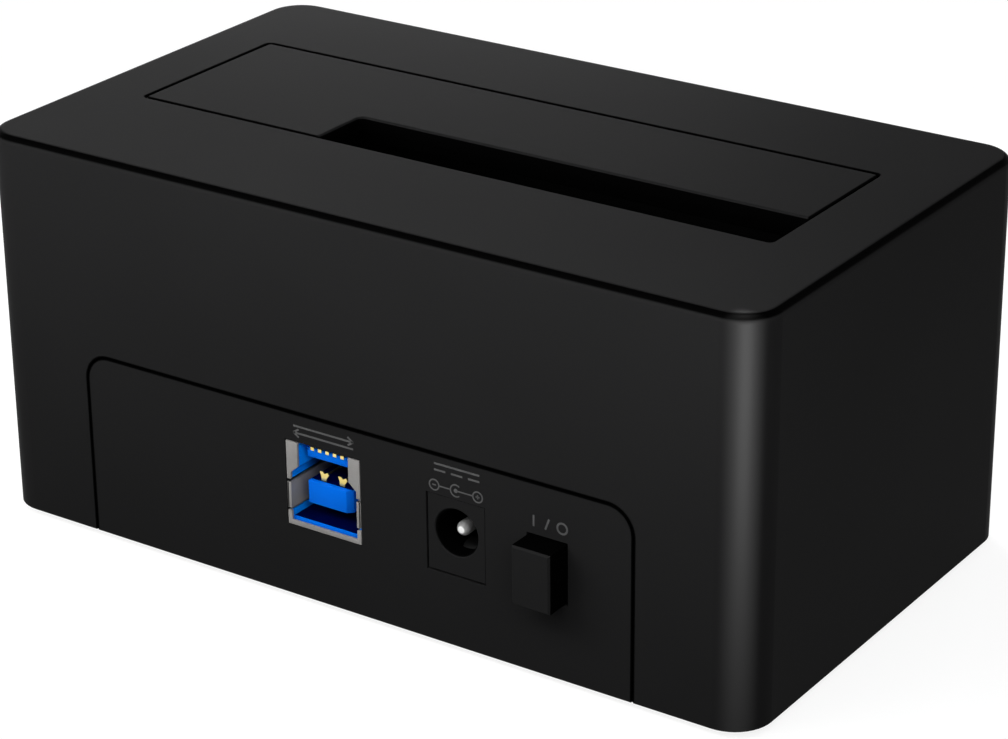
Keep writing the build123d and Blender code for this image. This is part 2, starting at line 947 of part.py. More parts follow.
usb_shell.part.label = "usb_shell"
export_step(usb_shell.part, "parts/usb_shell.step")

# Its insulator: a block at the back, a floor, and the two tongues that carry the contacts
z_upper_tongue = z_usb - usb_roof_wall - upper_tongue_drop
z_lower_tongue = z_usb - lower_tongue_drop
with BuildPart() as usb_insulator:
    with BuildSketch(Plane.XZ.offset(-y_usb_block)) as usb_back:
        with BuildLine():
            Polyline(*usb_cavity, close=True)
        make_face()
    extrude(usb_back.sketch, amount=-usb_back_block)
    block(
        (usb_x - half_room, usb_x + half_room),
        (y_port + usb_liner_recess, y_usb_block),
        (z_board + usb_floor_wall, z_board + usb_floor_wall + usb_liner),
    )
    block(
        (usb_x - upper_tongue_width / 2, usb_x + upper_tongue_width / 2),
        (y_port + upper_tongue_recess, y_usb_block),
        (z_upper_tongue - upper_tongue_height, z_upper_tongue),
    )
    block(
        (usb_x - lower_tongue_width / 2, usb_x + lower_tongue_width / 2),
        (y_port + lower_tongue_recess, y_usb_block),
        (z_lower_tongue - lower_tongue_height, z_lower_tongue),
    )
    tongue_front = y_port + lower_tongue_recess
    lower_front = usb_insulator.faces().filter_by(
        lambda f: f.normal_at().Y < -0.99 and abs(f.center().Y - tongue_front) < tongue_edge
    )
    chamfer(lower_front.edges(), tongue_edge)
usb_insulator.part.label = "usb_insulator"
export_step(usb_insulator.part, "parts/usb_insulator.step")

# Its contacts: a row on the upper tongue, and two above and two below the lower tongue
with BuildPart() as usb_upper_contacts:
    with Locations((usb_x, y_port + upper_tongue_recess, z_upper_tongue)):
        with GridLocations(upper_contact_pitch, 0, upper_contact_count, 1):
            Box(
                upper_contact_width,
                usb_depth - usb_back_block - upper_tongue_recess,
                usb_contact_thickness,
                align=(Align.CENTER, Align.MIN, Align.MIN),
            )
usb_upper_contacts.part.label = "usb_upper_contacts"
export_step(usb_upper_contacts.part, "parts/usb_upper_contacts.step")

contact_tip = tongue_front + lower_contact_recess
with BuildPart() as usb_lower_contacts:
    for side in (-1, 1):
        for z_seat, up in (
            (z_lower_tongue, 1),
            (z_lower_tongue - lower_tongue_height, -1),
        ):
            bent_contact(
                usb_x + side * lower_contact_pitch / 2,
                lower_contact_width,
                contact_tip,
                z_seat,
                y_usb_block - contact_tip,
                usb_contact_thickness,
                lower_contact_bend,
                lower_contact_rise,
                up,
            )
usb_lower_contacts.part.label = "usb_lower_contacts"
export_step(usb_lower_contacts.part, "parts/usb_lower_contacts.step")

# DC jack: body with a blind bore, centre pin and side spring
z_groove = jack_z - jack_bore_radius - jack_groove_depth
with BuildPart() as dc_jack_body:
    block(
        (jack_x - jack_width / 2, jack_x + jack_width / 2),
        (y_port, y_jack_back),
        (z_board, z_board + jack_height),
    )
    round_along_y(
        jack_bore_radius, (jack_x, jack_z), (y_port, y_jack_bore), mode=Mode.SUBTRACT
    )
    mouth = dc_jack_body.edges().filter_by(GeomType.CIRCLE).sort_by(Axis.Y)[0]
    chamfer(mouth, jack_mouth)
    block(
        (
            jack_x - jack_spring_width / 2 - jack_groove_play,
            jack_x + jack_spring_width / 2 + jack_groove_play,
        ),
        (y_port + jack_spring_recess, y_jack_bore),
        (z_groove, jack_z),
        mode=Mode.SUBTRACT,
    )
    round_along_y(
        jack_pin_radius, (jack_x, jack_z), (y_jack_bore, y_jack_back), mode=Mode.SUBTRACT
    )
dc_jack_body.part.label = "dc_jack_body"
export_step(dc_jack_body.part, "parts/dc_jack_body.step")

with BuildPart() as dc_jack_pin:
    round_along_y(
        jack_pin_radius, (jack_x, jack_z), (y_port + jack_pin_recess, y_jack_back)
    )
    fillet(dc_jack_pin.edges().group_by(Axis.Y)[0], jack_pin_tip)
dc_jack_pin.part.label = "dc_jack_pin"
export_step(dc_jack_pin.part, "parts/dc_jack_pin.step")

with BuildPart() as dc_jack_spring:
    bent_contact(
        jack_x,
        jack_spring_width,
        y_port + jack_spring_recess,
        z_groove,
        jack_bore_depth - jack_spring_recess,
        jack_spring_thickness,
        jack_spring_bend,
        jack_spring_rise,
    )
dc_jack_spring.part.label = "dc_jack_spring"
export_step(dc_jack_spring.part, "parts/dc_jack_spring.step")

with BuildPart() as dc_jack_terminals:
    with Locations((jack_x, y_jack_back - jack_tab_pitch, z_board)):
        with GridLocations(0, jack_tab_pitch, 1, 2):
            Box(jack_tab_width, jack_tab_thickness, jack_tab_length, align=TOP)
dc_jack_terminals.part.label = "dc_jack_terminals"
export_step(dc_jack_terminals.part, "parts/dc_jack_terminals.step")

# Power button: the cap goes through the port wall, and its flange stops it from coming out
with BuildPart() as power_button:
    block(
        (button_x - button_width / 2, button_x + button_width / 2),
        (y_port - button_reach, y_flange_back),
        (button_z - button_height / 2, button_z + button_height / 2),
    )
    chamfer(power_button.faces().sort_by(Axis.Y)[0].edges(), button_edge)
    block(
        (
            button_x - button_width / 2 - flange_margin,
            button_x + button_width / 2 + flange_margin,
        ),
        (y_flange, y_flange_back),
        (button_z - button_height / 2, button_z + button_height / 2 + flange_margin),
    )
    block(
        (
            button_x - plunger_width / 2 - plunger_play,
            button_x + plunger_width / 2 + plunger_play,
        ),
        (y_flange_back - plunger_socket, y_flange_back),
        (
            button_z - plunger_width / 2 - plunger_play,
            button_z + plunger_width / 2 + plunger_play,
        ),
        mode=Mode.SUBTRACT,
    )
power_button.part.label = "power_button"
export_step(power_button.part, "parts/power_button.step")


def square_bar(width, y_range, mode=Mode.ADD):
    """Square bar or hole on the button's centre line."""
    block(
        (button_x - width / 2, button_x + width / 2),
        y_range,
        (button_z - width / 2, button_z + width / 2),
        mode=mode,
    )


# Push switch behind it
with BuildPart() as switch_body:
    block(
        (button_x - switch_width / 2, button_x + switch_width / 2),
        (y_switch, y_switch_back),
        (z_board, z_board + switch_height),
    )
    square_bar(plunger_width + 2 * plunger_play, (y_switch, y_cavity), mode=Mode.SUBTRACT)
    square_bar(switch_cavity, (y_cavity, y_cavity_back), mode=Mode.SUBTRACT)
switch_body.part.label = "switch_body"
export_step(switch_body.part, "parts/switch_body.step")

with BuildPart() as switch_plunger:
    square_bar(plunger_width, (y_flange_back - plunger_socket, y_collar))
    square_bar(collar_width, (y_collar, y_collar_back))
    round_along_y(
        guide_radius, (button_x, button_z), (y_collar_back, y_collar_back + guide_length)
    )
switch_plunger.part.label = "switch_plunger"
export_step(switch_plunger.part, "parts/switch_plunger.step")

with BuildPart() as switch_spring:
    switch_spring_length = y_cavity_back - y_collar_back - switch_spring_wire
    with BuildLine() as spring_path:
        Helix(
            switch_spring_length / switch_spring_turns,
            switch_spring_length,
            switch_spring_radius,
            center=(button_x, y_collar_back + switch_spring_wire / 2, button_z),
            direction=(0, 1, 0),
        )
    with BuildSketch(
        Plane(origin=spring_path.line @ 0, z_dir=spring_path.line % 0)
    ) as spring_section:
        Circle(switch_spring_wire / 2)
    sweep(spring_section.sketch, path=spring_path.line, is_frenet=True)
switch_spring.part.label = "switch_spring"
export_step(switch_spring.part, "parts/switch_spring.step")

with BuildPart() as switch_terminals:
    with Locations((button_x, (y_switch + y_switch_back) / 2, z_board)):
        with GridLocations(switch_pin_pitch_x, switch_pin_pitch_y, 2, switch_pin_rows):
            Box(switch_pin_width, switch_pin_thickness, switch_pin_length, align=TOP)
switch_terminals.part.label = "switch_terminals"
export_step(switch_terminals.part, "parts/switch_terminals.step")

# Chips under the bay
chip_row_y = receptacle_y + bridge_chip_back
with BuildPart() as bridge_chip:
    with Locations((receptacle_x, chip_row_y, z_board)):
        Box(bridge_chip_side, bridge_chip_side, bridge_chip_height, align=BASE)
    chamfer(bridge_chip.faces().sort_by(Axis.Z)[-1].edges(), chip_edge)
    mark = bridge_chip_side / 2 - 3 * pin_mark_radius
    with Locations((receptacle_x - mark, chip_row_y - mark, z_board + bridge_chip_height)):
        Cylinder(pin_mark_radius, pin_mark_depth, align=TOP, mode=Mode.SUBTRACT)
bridge_chip.part.label = "bridge_chip"
export_step(bridge_chip.part, "parts/bridge_chip.step")

with BuildPart() as flash_chip:
    with Locations((receptacle_x - flash_chip_left, chip_row_y, z_board)):
        Box(flash_chip_length, flash_chip_width, flash_chip_height, align=BASE)
    chamfer(flash_chip.faces().sort_by(Axis.Z)[-1].edges(), chip_edge)
flash_chip.part.label = "flash_chip"
export_step(flash_chip.part, "parts/flash_chip.step")

with BuildPart() as crystal:
    with Locations((receptacle_x + crystal_right, chip_row_y, z_board)):
        Box(crystal_length, crystal_width, crystal_height, align=BASE)
    fillet(crystal.edges().filter_by(Axis.Z), 2 * chip_edge)
crystal.part.label = "crystal"
export_step(crystal.part, "parts/crystal.step")

# Power parts beside the USB receptacle, in front of the liner
capacitor_y = liner_near - liner_wall - capacitor_liner_gap - capacitor_base / 2
with BuildPart() as capacitors:
    with Locations((usb_x - capacitor_left, capacitor_y, z_board)):
        with GridLocations(capacitor_pitch, 0, 2, 1):
            Box(capacitor_base, capacitor_base, capacitor_base_height, align=BASE)
            Cylinder(capacitor_radius, capacitor_height, align=BASE)
    fillet(capacitors.edges().group_by(Axis.Z)[-1], capacitor_edge)
capacitors.part.label = "capacitors"
export_step(capacitors.part, "parts/capacitors.step")

inductor_y = (board_near + liner_near - liner_wall) / 2
with BuildPart() as power_inductors:
    with Locations((usb_x - inductor_left, inductor_y, z_board)):
        with GridLocations(0, inductor_pitch, 1, 2):
            Box(inductor_side, inductor_side, inductor_height, align=BASE)
    fillet(power_inductors.edges().filter_by(Axis.Z), inductor_edge)
power_inductors.part.label = "power_inductors"
export_step(power_inductors.part, "parts/power_inductors.step")

regulator_x = board_right - regulator_right
near_screw_y = board_near + post_edge_inset
regulator_y = (
    near_screw_y + board_screw_head_radius + regulator_screw_gap + regulator_length / 2
)
with BuildPart() as voltage_regulators:
    with Locations((regulator_x, regulator_y, z_board)):
        with GridLocations(regulator_pitch, 0, 2, 1):
            Box(regulator_width, regulator_length, regulator_height, align=BASE)
    with Locations(
        (regulator_x + (regulator_width + regulator_tab_width) / 2, regulator_y, z_board)
    ):
        with GridLocations(regulator_pitch, 0, 2, 1):
            Box(
                regulator_tab_width,
                regulator_tab_length,
                regulator_tab_height,
                align=BASE,
            )
voltage_regulators.part.label = "voltage_regulators"
export_step(voltage_regulators.part, "parts/voltage_regulators.step")

with BuildPart() as board_passives:
    with Locations((receptacle_x - passive_left, chip_row_y, z_board)):
        with GridLocations(
            passive_pitch_x, passive_pitch_y, passive_columns, passive_rows
        ):
            Box(passive_length, passive_width, passive_height, align=BASE)
board_passives.part.label = "board_passives"
export_step(board_passives.part, "parts/board_passives.step")

# Status light: a diode at the board's far edge and a bent light pipe to the front wall
led_y = board_far - led_edge_gap - led_width / 2
with BuildPart() as status_led:
    with Locations((0, led_y, z_board)):
        Box(led_length, led_width, led_height, align=BASE)
status_led.part.label = "status_led"
export_step(status_led.part, "parts/status_led.step")

pipe_z = z_board + light_pipe_rise
y_pipe_flange = y_front - shell_wall - light_pipe_flange_thickness
half_foot = light_pipe_foot_width / 2
with BuildPart() as light_pipe:
    with BuildSketch(Plane.YZ.offset(-half_foot)) as pipe_side:
        with BuildLine():
            Polyline(
                (led_y - light_pipe_foot_depth / 2, z_board + led_height + light_pipe_gap),
                (led_y + light_pipe_foot_depth / 2, z_board + led_height + light_pipe_gap),
                (led_y + light_pipe_foot_depth / 2, pipe_z - half_foot),
                (y_pipe_flange, pipe_z - half_foot),
                (y_pipe_flange, pipe_z + half_foot),
                (led_y + light_pipe_foot_depth / 2, pipe_z + half_foot),
                (led_y - light_pipe_foot_depth / 2, pipe_z - half_foot),
                close=True,
            )
        make_face()
    extrude(pipe_side.sketch, amount=light_pipe_foot_width)
    round_along_y(
        light_pipe_radius + light_pipe_flange,
        (0, pipe_z),
        (y_pipe_flange, y_front - shell_wall),
    )
    round_along_y(light_pipe_radius, (0, pipe_z), (y_front - shell_wall, y_front))
light_pipe.part.label = "light_pipe"
export_step(light_pipe.part, "parts/light_pipe.step")
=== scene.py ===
"""Finishes, sockets, printed signs, light and camera for the docking station."""
import math

import bmesh
import bpy
from mathutils import Matrix, Vector


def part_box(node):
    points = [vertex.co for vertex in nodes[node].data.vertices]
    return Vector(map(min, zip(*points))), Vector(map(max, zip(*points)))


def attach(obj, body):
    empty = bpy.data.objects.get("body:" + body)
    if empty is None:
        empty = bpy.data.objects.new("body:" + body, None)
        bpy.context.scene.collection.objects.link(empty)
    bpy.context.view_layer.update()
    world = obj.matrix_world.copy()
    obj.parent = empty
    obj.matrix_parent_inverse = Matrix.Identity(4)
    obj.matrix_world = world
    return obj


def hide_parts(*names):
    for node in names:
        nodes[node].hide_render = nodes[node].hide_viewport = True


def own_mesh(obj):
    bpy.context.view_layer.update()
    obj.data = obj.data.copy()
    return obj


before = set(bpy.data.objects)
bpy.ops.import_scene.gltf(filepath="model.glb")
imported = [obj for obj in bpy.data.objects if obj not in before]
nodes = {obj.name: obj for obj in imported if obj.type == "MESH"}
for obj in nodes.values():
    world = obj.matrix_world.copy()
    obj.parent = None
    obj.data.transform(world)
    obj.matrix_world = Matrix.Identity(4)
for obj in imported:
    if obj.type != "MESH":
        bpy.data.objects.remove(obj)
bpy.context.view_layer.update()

scene = bpy.context.scene
MM = 0.001
SHARP_ANGLE = 35.0
BEYOND = 1.0

# Places on the port wall, in millimetres: the wall's plane, and the middle of each sign
PORT_Y = -33.75
SIGN_PROUD = 0.015
DATA_SIGN = (-3.75, 26.2)
DC_SIGN = (18.0, 26.75)
POLARITY_SIGN = (17.83, 24.05)
POWER_SIGN = (32.2, 23.1)


# Mesh helpers


def new_piece(name, mesh, body, material, replaced=()):
    """A finished piece: its mesh holds its place, and its object sits at the origin."""
    piece = bpy.data.objects.new(name, mesh)
    scene.collection.objects.link(piece)
    mesh.materials.clear()
    mesh.materials.append(material)
    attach(piece, body)
    if replaced:
        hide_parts(*replaced)
    return piece


def prism(bm, outline, near, far):
    """A closed prism: an outline in X and Z, from Y near to Y far, in millimetres."""
    front = [bm.verts.new((x * MM, near * MM, z * MM)) for x, z in outline]
    back = [bm.verts.new((x * MM, far * MM, z * MM)) for x, z in outline]
    bm.faces.new(front)
    bm.faces.new(list(reversed(back)))
    for i, corner in enumerate(front):
        j = (i + 1) % len(front)
        bm.faces.new((front[j], corner, back[i], back[j]))


def finished(bm, name):
    """The edited faces as a mesh, all turned outwards."""
    bmesh.ops.recalc_face_normals(bm, faces=bm.faces)
    mesh = bpy.data.meshes.new(name)
    bm.to_mesh(mesh)
    bm.free()
    return mesh


def mesh_of(name, prisms):
    """A mesh of prisms, each given as its outline and the Y of its two ends."""
    bm = bmesh.new()
    for shape in prisms:
        prism(bm, *shape)
    return finished(bm, name)


def carried(mesh):
    """A mesh on an object that serves only to change it."""
    carrier = bpy.data.objects.new("carrier", mesh)
    scene.collection.objects.link(carrier)
    return carrier


def changed(carrier):
    """The mesh as its modifiers leave it. The object that carried it goes."""
    graph = bpy.context.evaluated_depsgraph_get()
    mesh = bpy.data.meshes.new_from_object(carrier.evaluated_get(graph))
    bpy.data.objects.remove(carrier)
    return mesh


def applied(mesh, kind, **values):
    """The mesh after a modifier with the given values."""
    carrier = carried(mesh)
    modifier = carrier.modifiers.new(kind, kind)
    for key, value in values.items():
        setattr(modifier, key, value)
    return changed(carrier)


def combined(name, solids, cutters=()):
    """One closed mesh: the solids joined, and the cutters taken away."""
    result = mesh_of(name, solids[:1])
    tools = [(s, "UNION") for s in solids[1:]] + [(c, "DIFFERENCE") for c in cutters]
    for shape, operation in tools:
        tool = carried(mesh_of("tool", [shape]))
        result = applied(result, "BOOLEAN", object=tool, operation=operation, solver="EXACT")
        bpy.data.objects.remove(tool)
    result.name = name
    return result


def eased(mesh, width, segments=2):
    """The mesh with its sharp edges rounded over."""
    return applied(
        mesh,
        "BEVEL",
        width=width * MM,
        segments=segments,
        limit_method="ANGLE",
        angle_limit=math.radians(SHARP_ANGLE),
        harden_normals=False,
    )


def smooth(mesh, angle=SHARP_ANGLE):
    """Smooth shading with the edges beyond an angle kept sharp."""
    bm = bmesh.new()
    bm.from_mesh(mesh)
    limit = math.radians(angle)
    for edge in bm.edges:
        edge.smooth = edge.calc_face_angle(0.0) < limit
    for face in bm.faces:
        face.smooth = True
    bm.to_mesh(mesh)
    bm.free()
    return mesh


def rectangle(x0, x1, z0, z1):
    return [(x0, z0), (x1, z0), (x1, z1), (x0, z1)]


def row_of_pieces():
    """A geometry node group: one piece repeated in a straight row."""
    group = bpy.data.node_groups.new("row_of_pieces", "GeometryNodeTree")
    for label, kind in (
        ("Geometry", "NodeSocketGeometry"),
        ("Count", "NodeSocketInt"),
        ("Step", "NodeSocketVector"),
        ("Material", "NodeSocketMaterial"),
    ):
        group.interface.new_socket(label, in_out="INPUT", socket_type=kind)
    group.interface.new_socket("Geometry", in_out="OUTPUT", socket_type="NodeSocketGeometry")
    start, end = group.nodes.new("NodeGroupInput"), group.nodes.new("NodeGroupOutput")
    line = group.nodes.new("GeometryNodeMeshLine")
    copies = group.nodes.new("GeometryNodeInstanceOnPoints")
    real = group.nodes.new("GeometryNodeRealizeInstances")
    finish = group.nodes.new("GeometryNodeSetMaterial")
    for source, target in (
        (start.outputs["Count"], line.inputs["Count"]),
        (start.outputs["Step"], line.inputs["Offset"]),
        (line.outputs["Mesh"], copies.inputs["Points"]),
        (start.outputs["Geometry"], copies.inputs["Instance"]),
        (copies.outputs["Instances"], real.inputs["Geometry"]),
        (real.outputs["Geometry"], finish.inputs["Geometry"]),
        (start.outputs["Material"], finish.inputs["Material"]),
        (finish.outputs["Geometry"], end.inputs["Geometry"]),
    ):
        group.links.new(source, target)
    return group


piece_row = row_of_pieces()


def in_row(mesh, count, step, material):
    """The mesh repeated in a row. The step is in millimetres."""
    carrier = carried(mesh)
    modifier = carrier.modifiers.new("row", "NODES")
    modifier.node_group = piece_row
    values = {"Count": count, "Step": [v * MM for v in step], "Material": material}
    for item in piece_row.interface.items_tree:
        if item.item_type == "SOCKET" and item.in_out == "INPUT" and item.name in values:
            modifier[item.identifier] = values[item.name]
    return changed(carrier)


# Node groups


def group_of(name, inputs, outputs):
    """An empty shader node group with named sockets, and its two end nodes."""
    group = bpy.data.node_groups.new(name, "ShaderNodeTree")
    for label, kind, value in inputs:
        socket = group.interface.new_socket(label, in_out="INPUT", socket_type=kind)
        if value is not None:
            socket.default_value = value
    for label, kind in outputs:
        group.interface.new_socket(label, in_out="OUTPUT", socket_type=kind)
    return group, group.nodes.new("NodeGroupInput"), group.nodes.new("NodeGroupOutput")


def node(tree, kind, links=(), **values):
    """A node with its settings, linked from (input, source socket) pairs."""
    made = tree.nodes.new(kind)
    for key, value in values.items():
        if hasattr(made, key):
            setattr(made, key, value)
        else:
            made.inputs[key.replace("_", " ")].default_value = value
    for key, source in links:
        tree.links.new(source, made.inputs[key])
    return made


def maths(tree, operation, first, second):
    """One sum on two values, each a socket or a number."""
    made = node(tree, "ShaderNodeMath", operation=operation)
    for socket, value in zip(made.inputs, (first, second)):
        if isinstance(value, float):
            socket.default_value = value
        else:
            tree.links.new(value, socket)
    return made.outputs[0]


FLOAT, VECTOR = "NodeSocketFloat", "NodeSocketVector"
MM_IN_METRE = 1000.0


def moulded_texture_group():
    """The fine spark-eroded texture of a moulded face, with a slow drift of tone."""
    group, start, end = group_of(
        "moulded_texture",
        [("Vector", VECTOR, None), ("Grain Size", FLOAT, 0.25), ("Drift Size", FLOAT, 30.0)],
        [("Grain", FLOAT), ("Drift", FLOAT)],
    )
    fine = maths(group, "DIVIDE", MM_IN_METRE, start.outputs["Grain Size"])
    slow = maths(group, "DIVIDE", MM_IN_METRE, start.outputs["Drift Size"])
    grain = node(
        group,
        "ShaderNodeTexNoise",
        [("Vector", start.outputs["Vector"]), ("Scale", fine)],
        Detail=3.0,
        Roughness=0.6,
    )
    drift = node(
        group,
        "ShaderNodeTexNoise",
        [("Vector", start.outputs["Vector"]), ("Scale", slow)],
        Detail=2.0,
        Roughness=0.5,
    )
    group.links.new(grain.outputs[0], end.inputs["Grain"])
    group.links.new(drift.outputs[0], end.inputs["Drift"])
    return group


def drawn_metal_group():
    """Long fine lines along one axis, as rolling and drawing leave them, with dull patches."""
    group, start, end = group_of(
        "drawn_metal",
        [("Vector", VECTOR, None), ("Stretch", VECTOR, (400.0, 6000.0, 6000.0))],
        [("Lines", FLOAT), ("Patches", FLOAT)],
    )
    stretched = node(
        group,
        "ShaderNodeVectorMath",
        [(0, start.outputs["Vector"]), (1, start.outputs["Stretch"])],
        operation="MULTIPLY",
    )
    lines = node(
        group, "ShaderNodeTexNoise", [("Vector", stretched.outputs[0])], Scale=1.0, Detail=4.0
    )
    patches = node(
        group, "ShaderNodeTexNoise", [("Vector", start.outputs["Vector"])], Scale=350.0, Detail=3.0
    )
    group.links.new(lines.outputs[0], end.inputs["Lines"])
    group.links.new(patches.outputs[0], end.inputs["Patches"])
    return group


moulded_texture = moulded_texture_group()
drawn_metal = drawn_metal_group()


def material_of(name):
    """An empty material with its shader and object coordinates."""
    material = bpy.data.materials.new(name)
    material.use_nodes = True
    tree = material.node_tree
    tree.nodes.clear()
    out = tree.nodes.new("ShaderNodeOutputMaterial")
    shader = tree.nodes.new("ShaderNodeBsdfPrincipled")
    tree.links.new(shader.outputs[0], out.inputs[0])
    place = tree.nodes.new("ShaderNodeTexCoord")
    return material, tree, shader, place.outputs["Object"]


NOISE_LOW, NOISE_HIGH = 0.3, 0.7


def ranged(tree, source, from_low, from_high, to_low, to_high, kind="LINEAR"):
    """A value carried from one range to another, and held at its ends."""
    made = node(tree, "ShaderNodeMapRange", [("Value", source)], interpolation_type=kind)
    ends = (from_low, from_high, to_low, to_high)
    for key, value in zip(("From Min", "From Max", "To Min", "To Max"), ends):
        made.inputs[key].default_value = value
    return made.outputs[0]


def spread(tree, source, low, high):
    """A value from a noise, spread from low to high."""
    return ranged(tree, source, NOISE_LOW, NOISE_HIGH, low, high)


def either(tree, first, second):
    """A mask where one or the other of two is."""
    return maths(tree, "MAXIMUM", first, second)


def both(tree, first, second):
    """A mask where both of two are."""
    return maths(tree, "MULTIPLY", first, second)


def tinted(tree, factor, first, second):
    """A colour between two by a mask, each a socket or a plain colour."""
    made = node(tree, "ShaderNodeMix", [(0, factor)], data_type="RGBA")
    for index, colour in ((6, first), (7, second)):
        if isinstance(colour, tuple):
            made.inputs[index].default_value = (*colour, 1)
        else:
            tree.links.new(colour, made.inputs[index])
    return made.outputs[2]


def bumped(tree, shader, height, depth):
    """Relief from a height, as deep as is given in millimetres."""
    made = node(tree, "ShaderNodeBump", [("Height", height)])
    made.inputs["Distance"].default_value = depth * MM
    tree.links.new(made.outputs[0], shader.inputs["Normal"])


def place_band(tree, place, axis, ramp):
    """A mask along one axis in millimetres: up over the first pair, down over the next."""
    along = node(tree, "ShaderNodeSeparateXYZ", [(0, place)]).outputs[axis]
    rise, *falls = zip(ramp[::2], ramp[1::2])
    mask = ranged(tree, along, rise[0] * MM, rise[1] * MM, 0.0, 1.0, "SMOOTHSTEP")
    for start, stop in falls:
        fall = ranged(tree, along, start * MM, stop * MM, 1.0, 0.0, "SMOOTHSTEP")
        mask = both(tree, mask, fall)
    return mask


FULL_SHARE = 0.6


def outline_band(tree, place, axes, centre, half, radius, width):
    """A mask along a rounded rectangle's outline, in millimetres across two of the axes."""
    parts = node(tree, "ShaderNodeSeparateXYZ", [(0, place)])
    flat = node(tree, "ShaderNodeCombineXYZ", [(i, parts.outputs[a]) for i, a in enumerate(axes)])

    def step(source, operation, value=None):
        made = node(tree, "ShaderNodeVectorMath", [(0, source)], operation=operation)
        if value is not None:
            made.inputs[1].default_value = (*value, 0)
        return made.outputs["Value" if operation == "LENGTH" else "Vector"]

    from_middle = step(step(flat.outputs[0], "SUBTRACT", [c * MM for c in centre]), "ABSOLUTE")
    beyond = step(from_middle, "SUBTRACT", [(h - radius) * MM for h in half])
    reach = step(step(beyond, "MAXIMUM", (0, 0)), "LENGTH")
    off = maths(tree, "SUBTRACT", reach, radius * MM)
    away = node(tree, "ShaderNodeMath", [(0, off)], operation="ABSOLUTE")
    full = FULL_SHARE * width * MM
    return ranged(tree, away.outputs[0], full, width * MM, 1.0, 0.0, "SMOOTHSTEP")


def moulded_plastic(
    name, dark, light, roughness=(0.38, 0.44), gloss=0.004, grain=0.25, depth=0.003, drift=30.0,
    shade=None, painted_sheen=None,
):
    """Moulded plastic: a fine texture, a slow drift of tone, and painted shade and a painted sheen
    by place.
    """
    material, tree, shader, place = material_of(name)
    texture = node(tree, "ShaderNodeGroup", node_tree=moulded_texture)
    tree.links.new(place, texture.inputs["Vector"])
    texture.inputs["Grain Size"].default_value = grain
    texture.inputs["Drift Size"].default_value = drift
    colour = tinted(tree, spread(tree, texture.outputs["Drift"], 0, 1), dark, light)
    if shade:
        colour = tinted(tree, shade(tree, place), colour, DEEP_SHADE)
    tree.links.new(colour, shader.inputs["Base Color"])
    tree.links.new(
        spread(tree, texture.outputs["Grain"], *roughness), shader.inputs["Roughness"]
    )
    shader.inputs["Specular IOR Level"].default_value = gloss
    # A painted sheen: a clear coat only where the mask is, for a highlight there
    if painted_sheen:
        tree.links.new(painted_sheen(tree, place), shader.inputs["Coat Weight"])
        shader.inputs["Coat Roughness"].default_value = SHEEN_ROUGHNESS
    bumped(tree, shader, texture.outputs["Grain"], depth)
    return material


def worked_metal(
    name, dark, light, roughness, stretch=(400, 6000, 6000), depth=0.0015, metallic=1.0,
    shade=None,
):
    """Metal with the fine lines of its making, duller patches, and a painted shade by place."""
    material, tree, shader, place = material_of(name)
    texture = node(tree, "ShaderNodeGroup", node_tree=drawn_metal)
    tree.links.new(place, texture.inputs["Vector"])
    texture.inputs["Stretch"].default_value = stretch
    colour = tinted(tree, spread(tree, texture.outputs["Patches"], 0, 1), dark, light)
    if shade:
        colour = tinted(tree, shade(tree, place), colour, METAL_PAINTED_SHADE)
    tree.links.new(colour, shader.inputs["Base Color"])
    tree.links.new(spread(tree, texture.outputs["Lines"], *roughness), shader.inputs["Roughness"])
    shader.inputs["Metallic"].default_value = metallic
    bumped(tree, shader, texture.outputs["Lines"], depth)
    return material


BLACK = ((0.0125, 0.0125, 0.0127), (0.0135, 0.0135, 0.0137))
# The near-black that painted shade blends a colour towards
DEEP_SHADE = (0.0008, 0.0008, 0.0008)
METAL_PAINTED_SHADE = (0.25, 0.25, 0.248)
# The coat roughness of the painted sheen
SHEEN_ROUGHNESS = 0.4

# Where painted shade and the painted corner sheen start and stop over a piece, in millimetres
ROUNDED_EDGE = (57.4, 57.7, 58.14, 58.18)
BELOW_FLAP_FACE = (57.95, 57.85)
BEHIND_PORT_FACE = (-33.7, -33.55)
BEHIND_BUTTON_FACE = (-37.5, -37.35)
INTO_SOCKET = (-31.5, -26.5)
TOP_ONLY = (53.0, 53.2)
WALL_ONLY = (-31.0, -31.2)
# The corner that carries the painted sheen
SHEEN_CORNER = (("X", (57.2, 60.0)), ("Y", (-30.4, -32.7)), ("Z", (-30.0, 58.0)))

# Outlines along which shade is painted: the two axes, the middle, the half sizes, the corner
# radius, the width
PANEL_SEAM = (("X", "Z"), (0.0, 8.35), (45.1, 20.25), 3.95, 0.42)
FLAP_GAP = (("X", "Y"), (-0.7, 4.05), (51.35, 14.45), 0.7, 0.52)
PIN_ROUND = (("X", "Z"), (17.83, 17.9), (1.0, 1.0), 1.0, 0.6)


def seam_shade(tree, place):
    """Painted shade: the panel's seam on the port wall reads black a little beyond its gap."""
    seam = outline_band(tree, place, *PANEL_SEAM)
    return both(tree, seam, place_band(tree, place, "Y", WALL_ONLY))


def gap_shade(tree, place):
    """Painted shade: the gap round the flap reads black a little beyond its width."""
    gap = outline_band(tree, place, *FLAP_GAP)
    return both(tree, gap, place_band(tree, place, "Z", TOP_ONLY))


def housing_shade(tree, place):
    """Painted shade on the housing: darkest along its rounded top edge, at the seam and round the
    flap.
    """
    edges = either(tree, place_band(tree, place, "Z", ROUNDED_EDGE), seam_shade(tree, place))
    return either(tree, edges, gap_shade(tree, place))


def corner_painted_sheen(tree, place):
    """A painted highlight: a clear coat laid only on the upright corner beside the button,
    strongest at its top.
    """
    across, along, up = (place_band(tree, place, axis, ramp) for axis, ramp in SHEEN_CORNER)
    return both(tree, both(tree, across, along), up)


def flap_shade(tree, place):
    """Painted shade on the flap: darkest below its face and along the gap round it."""
    below = place_band(tree, place, "Z", BELOW_FLAP_FACE)
    return either(tree, below, gap_shade(tree, place))


def behind(ramp):
    """A painted shade that deepens along Y, behind a face."""
    return lambda tree, place: place_band(tree, place, "Y", ramp)
